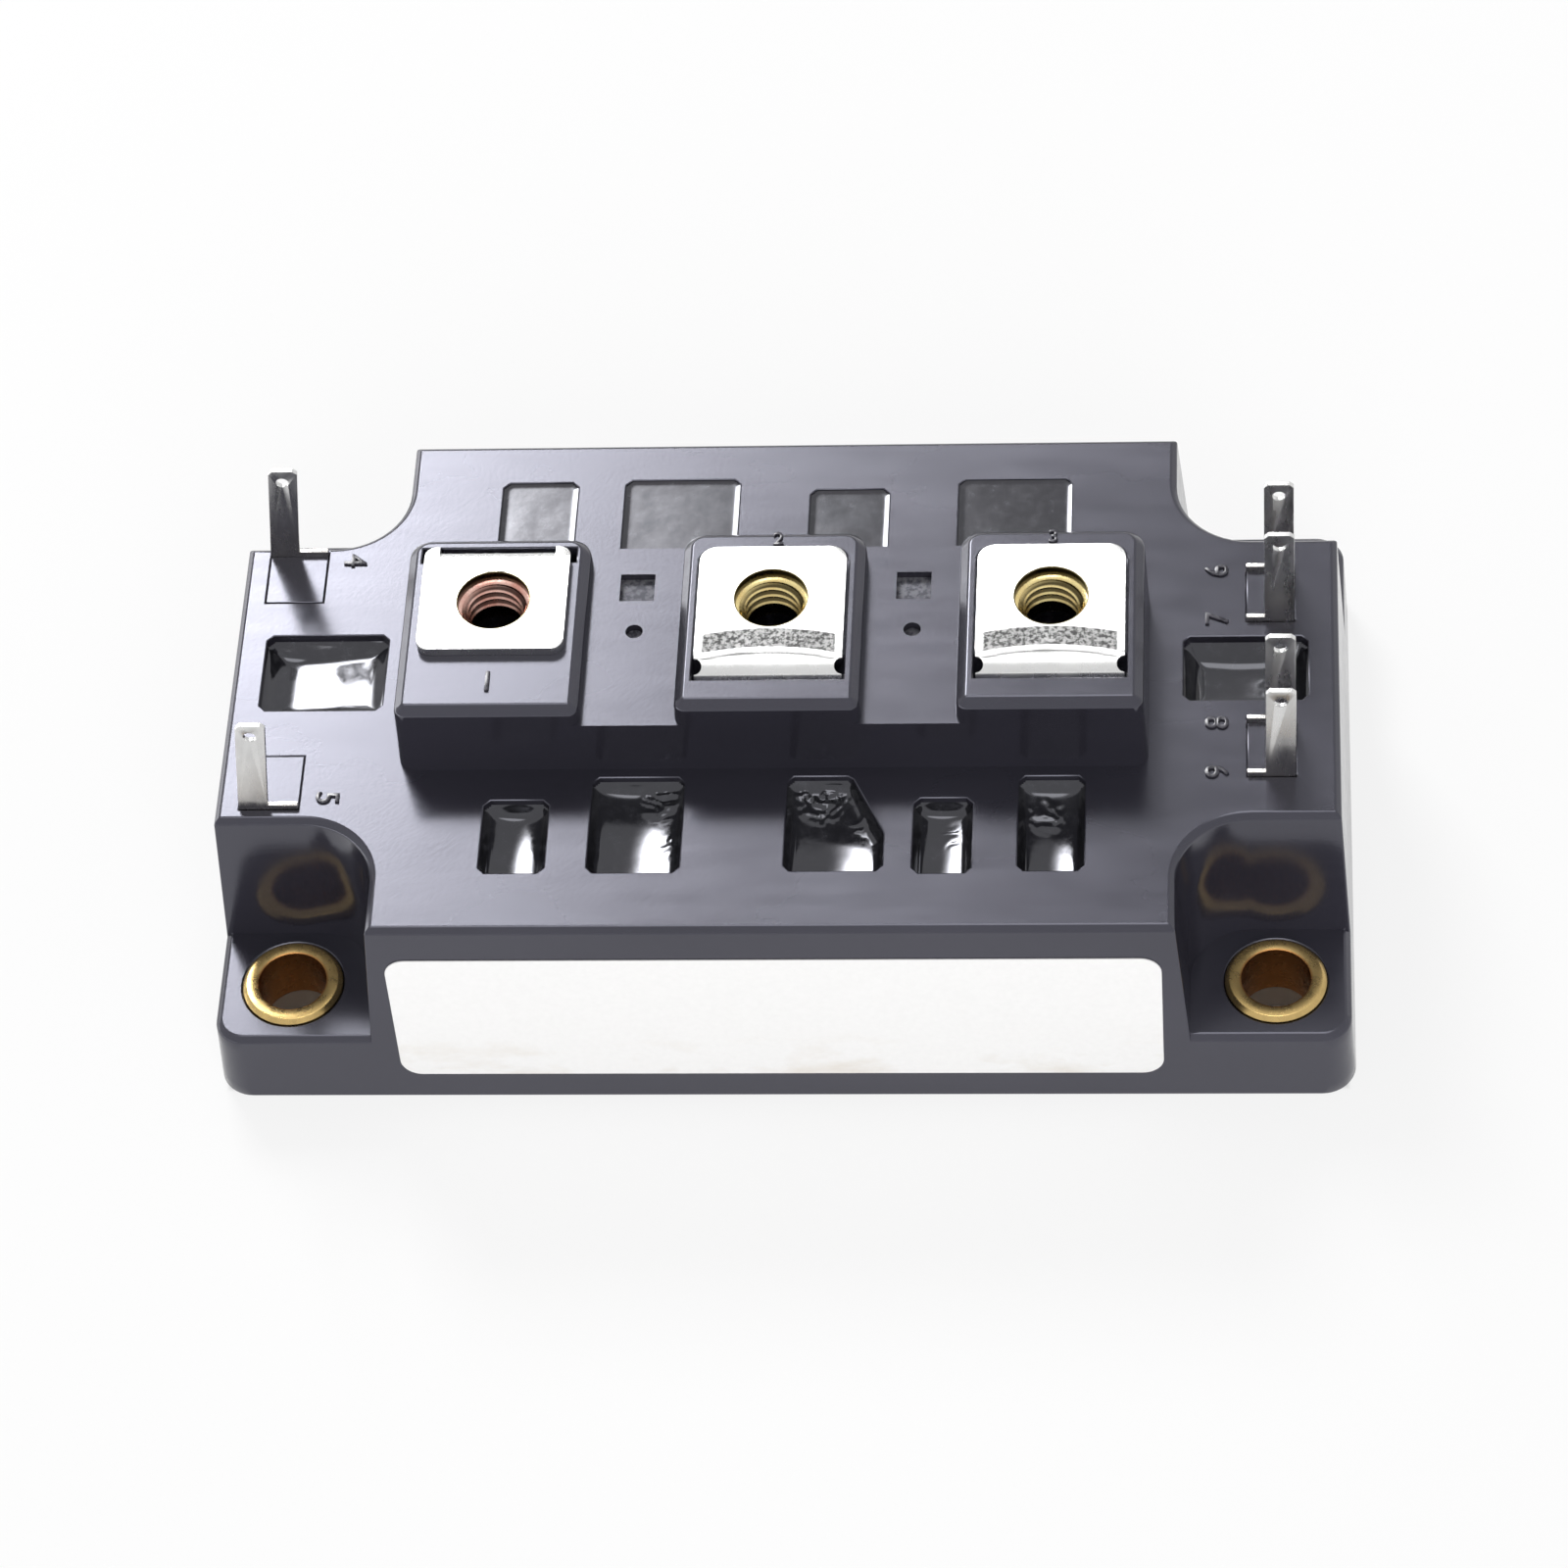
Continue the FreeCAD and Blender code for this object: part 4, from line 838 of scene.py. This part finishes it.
def build_nut(side):
    """A nut: the CAD hexagon with its bore opened to the major radius and a real thread in it."""
    x = TERMINAL_X[side]
    nut = copy_of("nut_" + side, "nut_" + side + "_threaded")
    axis = Vector((x * MM, SCREW_Y * MM))
    for vertex in nut.data.vertices:
        out = Vector(vertex.co[:2]) - axis
        if out.length < CAD_BORE_LIMIT * MM:
            at_mouth = abs(vertex.co.z / MM - NUT_TOP) < 0.05
            radius = OPENED_MOUTH if at_mouth else OPENED_BORE
            vertex.co.x, vertex.co.y = axis + out.normalized() * radius * MM
    round_edges(nut, SMALL_ROUND * MM, angle=40)
    shade(nut)
    thread = build_thread("thread_" + side, x)
    for vertex in thread.data.vertices:
        out = Vector(vertex.co[:2]) - axis
        above = vertex.co.z - (NUT_TOP - MOUTH_DEPTH) * MM
        if above > 0:
            least = min(THREAD_MAJOR * MM, THREAD_MINOR * MM + above / MOUTH_DEPTH)
            vertex.co.x, vertex.co.y = axis + out.normalized() * max(out.length, least)
    smooth(thread, 35)
    nut.select_set(True)
    bpy.context.view_layer.objects.active = nut
    bpy.ops.object.join()
    return nut


def build_mark(text, x, y, z, size, turn):
    """A raised number standing on the case."""
    nothing_selected()
    bpy.ops.object.text_add(location=(0, 0, 0))
    figure = named("mark_" + text).data
    figure.body = text
    figure.align_x = "CENTER"
    figure.align_y = "CENTER"
    figure.size = size * TEXT_SIZE_OF_FIGURE * MM
    figure.extrude = settings().mark_height
    figure.bevel_depth = MARK_ROUND * MM
    figure.bevel_resolution = 1
    figure.resolution_u = 6
    bpy.ops.object.convert(target="MESH")
    obj = named("mark_" + text)
    obj.location = (x * MM, y * MM, z * MM)
    obj.rotation_euler = (0, 0, math.radians(turn))
    bpy.ops.object.transform_apply(location=True, rotation=True, scale=True)
    edit(obj)
    bpy.ops.mesh.select_all(action="SELECT")
    bpy.ops.mesh.remove_doubles(threshold=TEXT_MERGE * MM)
    face_outwards()
    smooth(obj, 35)
    return obj


# Stage

def direction(azimuth, elevation):
    """Unit vector from the module. Azimuth 0 is behind it and turns to its left."""
    turn, rise = math.radians(azimuth), math.radians(elevation)
    level = math.cos(rise)
    return Vector((-math.sin(turn) * level, math.cos(turn) * level, math.sin(rise)))


def add_floor():
    nothing_selected()
    bpy.ops.mesh.primitive_plane_add(size=FLOOR_SIDE, location=(0, 0, -FLOOR_GAP * MM))
    floor = named("studio_floor_sheet")
    bpy.ops.object.transform_apply(location=True, rotation=False, scale=False)
    floor.data.materials.append(studio_floor())


def add_air():
    """The world: plain light, white to the eye, with a glow that only shiny faces mirror."""
    world = bpy.data.worlds.new("studio_air")
    bpy.context.scene.world = world
    world.use_nodes = True
    world.node_tree.nodes.clear()
    nodes = Nodes(world.node_tree)
    way = nodes.add("TexCoord").outputs["Generated"]
    toward = nodes.feed(nodes.add("VectorMath", operation="DOT_PRODUCT"), _0=way,
                        _1=direction(GLOW_AZIMUTH, GLOW_ELEVATION)).outputs["Value"]
    up = nodes.feed(nodes.add("SeparateXYZ"), Vector=way).outputs["Z"]
    halo = nodes.math("POWER", nodes.spread(toward, 0.0, 1.0, *HALO_EDGES), HALO_POWER)
    halo = nodes.spread(halo, HALO_LEAST, HALO_MOST, 0.0, 1.0)
    core = nodes.spread(toward, 0.0, CORE_MOST, *CORE_EDGES, smooth=True)
    overhead = nodes.spread(up, 0.0, OVERHEAD_MOST, *OVERHEAD_EDGES, smooth=True)
    bright = nodes.math("ADD", nodes.math("ADD", halo, core), overhead)

    path = nodes.add("LightPath")
    seen = nodes.math("MAXIMUM", path.outputs["Is Camera Ray"], path.outputs["Is Transmission Ray"])
    mirrored = nodes.math("MULTIPLY", bright, path.outputs["Is Glossy Ray"])
    strength = nodes.math("MAXIMUM", mirrored, nodes.spread(seen, PLAIN_LIGHT, 1.0, 0, 1))
    air = nodes.feed(nodes.add("Background"), Color=(1, 1, 1, 1), Strength=strength)
    nodes.tree.links.new(air.outputs[0], nodes.add("OutputWorld").inputs[0])


def add_lamp(name, azimuth, elevation, distance, size, power):
    """A square soft lamp aimed at the module, with its distance and size in metres."""
    light = bpy.data.lights.new(name, "AREA")
    light.size = size
    light.energy = power
    obj = bpy.data.objects.new(name, light)
    bpy.context.scene.collection.objects.link(obj)
    obj.visible_glossy = False
    out = direction(azimuth, elevation)
    obj.location = out * distance
    obj.rotation_euler = out.to_track_quat("Z", "Y").to_euler()


def add_camera():
    """The camera at its place, and plain colours in what it sees."""
    scene = bpy.context.scene
    camera = bpy.data.cameras.new("camera")
    holder = bpy.data.objects.new("camera", camera)
    scene.collection.objects.link(holder)
    camera.sensor_width = 36
    camera.lens = CAMERA_LENS
    camera.clip_start, camera.clip_end = 0.01, 20
    axes = zip(CAMERA_RIGHT, CAMERA_UP, CAMERA_BACK, CAMERA_PLACE)
    holder.matrix_world = Matrix([*axes, (0, 0, 0, 1)])
    scene.camera = holder
    scene.view_settings.view_transform = "Standard"


# Operators

class POWER_OT_case(bpy.types.Operator):
    """Build the moulded case with rounded edges"""

    bl_idname = "power_module.case"
    bl_label = "Case"
    bl_options = {"REGISTER", "UNDO"}

    def execute(self, context):
        case = copy_of("housing", "case_moulding")
        round_edges(case, settings().edge_round, leave=in_bridge_recess)
        shade(case, crisp=True)
        dress(case, case_plastic(settings().case_colour))
        return {"FINISHED"}


class POWER_OT_blocks(bpy.types.Operator):
    """Build the small blocks beside the tabs"""

    bl_idname = "power_module.blocks"
    bl_label = "Tab blocks"
    bl_options = {"REGISTER", "UNDO"}

    def execute(self, context):
        plastic = bpy.data.materials["case_plastic"]
        for place in ("left_back", "left_front", "right_back", "right_front"):
            block = copy_of("tab_block_" + place, "block_" + place)
            round_edges(block, settings().seam_round)
            shade(block, crisp=True)
            dress(block, plastic)
        return {"FINISHED"}


class POWER_OT_resin(bpy.types.Operator):
    """Build the resin pool in each window and the mass under them"""

    bl_idname = "power_module.resin"
    bl_label = "Resin"
    bl_options = {"REGISTER", "UNDO"}

    def execute(self, context):
        glossy = resin(settings().resin_colour)
        for window in WINDOWS:
            dress(build_pool(window), glossy)
        mass = copy_of("potting_resin", "resin_mass")
        pick_faces(mass, lambda centre, normal: centre.z > (WINDOW_FLOOR + 0.05) * MM)
        bpy.ops.mesh.delete(type="FACE")
        bpy.ops.mesh.select_all(action="SELECT")
        bpy.ops.mesh.fill_holes(sides=0)
        face_outwards()
        object_mode()
        dress(mass, glossy)
        return {"FINISHED"}


class POWER_OT_terminals(bpy.types.Operator):
    """Build the three bent terminal strips"""

    bl_idname = "power_module.terminals"
    bl_label = "Terminal strips"
    bl_options = {"REGISTER", "UNDO"}

    def execute(self, context):
        plating = tin(settings().tin_colour)
        for side in SIDES:
            strip = copy_of("main_terminal_" + side, "terminal_strip_" + side)
            round_edges(strip, settings().metal_round, angle=35)
            shade(strip)
            dress(strip, plating)
        return {"FINISHED"}


class POWER_OT_nuts(bpy.types.Operator):
    """Build the three captive nuts with real threads"""

    bl_idname = "power_module.nuts"
    bl_label = "Nuts"
    bl_options = {"REGISTER", "UNDO"}

    def execute(self, context):
        yellow = zinc("yellow_zinc", settings().yellow_colour, tint_and_shade=(0.80, 0.60, 0.26))
        copper = zinc("reddish_zinc", settings().copper_colour, tint_and_shade=(0.62, 0.28, 0.22))
        for side in SIDES:
            if side == "left":
                dress(build_nut(side), copper)
            else:
                dress(build_nut(side), yellow)
        return {"FINISHED"}


class POWER_OT_tabs(bpy.types.Operator):
    """Build the six flat signal tabs"""

    bl_idname = "power_module.tabs"
    bl_label = "Signal tabs"
    bl_options = {"REGISTER", "UNDO"}

    def execute(self, context):
        plating = tab_tin(settings().tin_colour)
        for place in ("left_back", "left_front", "right_1", "right_2", "right_3", "right_4"):
            tab = copy_of("signal_tab_" + place, "tab_" + place)
            round_edges(tab, settings().metal_round * TAB_ROUND_SHARE, angle=35)
            shade(tab)
            dress(tab, plating)
        return {"FINISHED"}


class POWER_OT_bushes(bpy.types.Operator):
    """Build the four mounting bushes"""

    bl_idname = "power_module.bushes"
    bl_label = "Bushes"
    bl_options = {"REGISTER", "UNDO"}

    def execute(self, context):
        gold = bush_gold(settings().gold_colour)
        for place in ("front_left", "front_right", "back_left", "back_right"):
            bush = copy_of("bush_" + place, "sleeve_" + place)
            round_edges(bush, SMALL_ROUND * MM, angle=35)
            shade(bush)
            dress(bush, gold)
        return {"FINISHED"}


class POWER_OT_label(bpy.types.Operator):
    """Build the bare front label"""

    bl_idname = "power_module.label"
    bl_label = "Label"
    bl_options = {"REGISTER", "UNDO"}

    def execute(self, context):
        label = copy_of("front_label", "label_film")
        round_edges(label, LABEL_ROUND * MM, segments=1, angle=40)
        shade(label)
        dress(label, label_paper(settings().label_colour))
        return {"FINISHED"}


class POWER_OT_base(bpy.types.Operator):
    """Build the metal base plate"""

    bl_idname = "power_module.base"
    bl_label = "Base plate"
    bl_options = {"REGISTER", "UNDO"}

    def execute(self, context):
        base = copy_of("base_plate", "base_plate_milled")
        round_edges(base, BASE_ROUND * MM, angle=35)
        shade(base)
        dress(base, milled_nickel())
        return {"FINISHED"}


class POWER_OT_circuit(bpy.types.Operator):
    """Give the parts held inside their materials"""

    bl_idname = "power_module.circuit"
    bl_label = "Circuit"
    bl_options = {"REGISTER", "UNDO"}

    def execute(self, context):
        copper = inner_metal("circuit_copper", (0.80, 0.45, 0.30), scale=300, roughness=0.30)
        aluminium = inner_metal("bond_aluminium", (0.80, 0.80, 0.82), scale=900, roughness=0.25)
        ceramic = inner_solid("tile_ceramic", (0.86, 0.85, 0.82), scale=700, roughness=0.45)
        silicon = inner_solid("chip_silicon", (0.16, 0.17, 0.20), scale=500, roughness=0.15)
        gel = inner_solid("clear_gel", (0.80, 0.84, 0.86), scale=60, roughness=0.05, clear=0.85)
        finishes = {
            "backing_copper": copper,
            "circuit_copper": copper,
            "link_strip": copper,
            "bond_straps": aluminium,
            "ceramic": ceramic,
            "transistor_chip": silicon,
            "diode_chip": silicon,
            "silicone_gel": gel,
        }
        for name, node in NODES.items():
            for start, finish in finishes.items():
                if name.startswith(start):
                    node.data.materials.clear()
                    node.data.materials.append(finish)
        return {"FINISHED"}


class POWER_OT_marks(bpy.types.Operator):
    """Raise a plain number beside each terminal"""

    bl_idname = "power_module.marks"
    bl_label = "Numbers"
    bl_options = {"REGISTER", "UNDO"}

    def execute(self, context):
        plastic = mark_plastic(settings().case_colour)
        for mark in MARKS:
            dress(build_mark(*mark), plastic)
        return {"FINISHED"}


class POWER_OT_stage(bpy.types.Operator):
    """Set the floor, the lamps and the camera"""

    bl_idname = "power_module.stage"
    bl_label = "Stage"
    bl_options = {"REGISTER", "UNDO"}

    def execute(self, context):
        add_floor()
        add_air()
        add_lamp("back_left_softbox", GLOW_AZIMUTH, GLOW_ELEVATION,
                 distance=1.0, size=0.3, power=6.5)
        add_lamp("front_fill", azimuth=190, elevation=28, distance=1.6, size=1.0, power=16)
        add_camera()
        return {"FINISHED"}


OPERATORS = (
    POWER_OT_case, POWER_OT_blocks, POWER_OT_resin, POWER_OT_terminals, POWER_OT_nuts,
    POWER_OT_tabs, POWER_OT_bushes, POWER_OT_label, POWER_OT_base, POWER_OT_circuit,
    POWER_OT_marks, POWER_OT_stage,
)


class POWER_PT_sidebar(bpy.types.Panel):
    """Lists the steps that build the module"""

    bl_idname = "POWER_PT_sidebar"
    bl_label = "Power Module"
    bl_space_type = "VIEW_3D"
    bl_region_type = "UI"
    bl_category = "Power Module"

    def draw(self, context):
        for name in PowerModuleSettings.__annotations__:
            self.layout.prop(context.scene.power_module, name)
        for operator in OPERATORS:
            self.layout.operator(operator.bl_idname)


def register():
    for each in (PowerModuleSettings, *OPERATORS, POWER_PT_sidebar):
        bpy.utils.register_class(each)
    bpy.types.Scene.power_module = bpy.props.PointerProperty(type=PowerModuleSettings)


def unregister():
    del bpy.types.Scene.power_module
    for each in reversed((PowerModuleSettings, *OPERATORS, POWER_PT_sidebar)):
        bpy.utils.unregister_class(each)


def main():
    register()
    for operator in OPERATORS:
        step = operator.bl_idname.split(".")[1]
        if getattr(bpy.ops.power_module, step)() != {"FINISHED"}:
            raise RuntimeError("step " + step + " did not finish")
    nothing_selected()


if __name__ == "__main__":
    main()
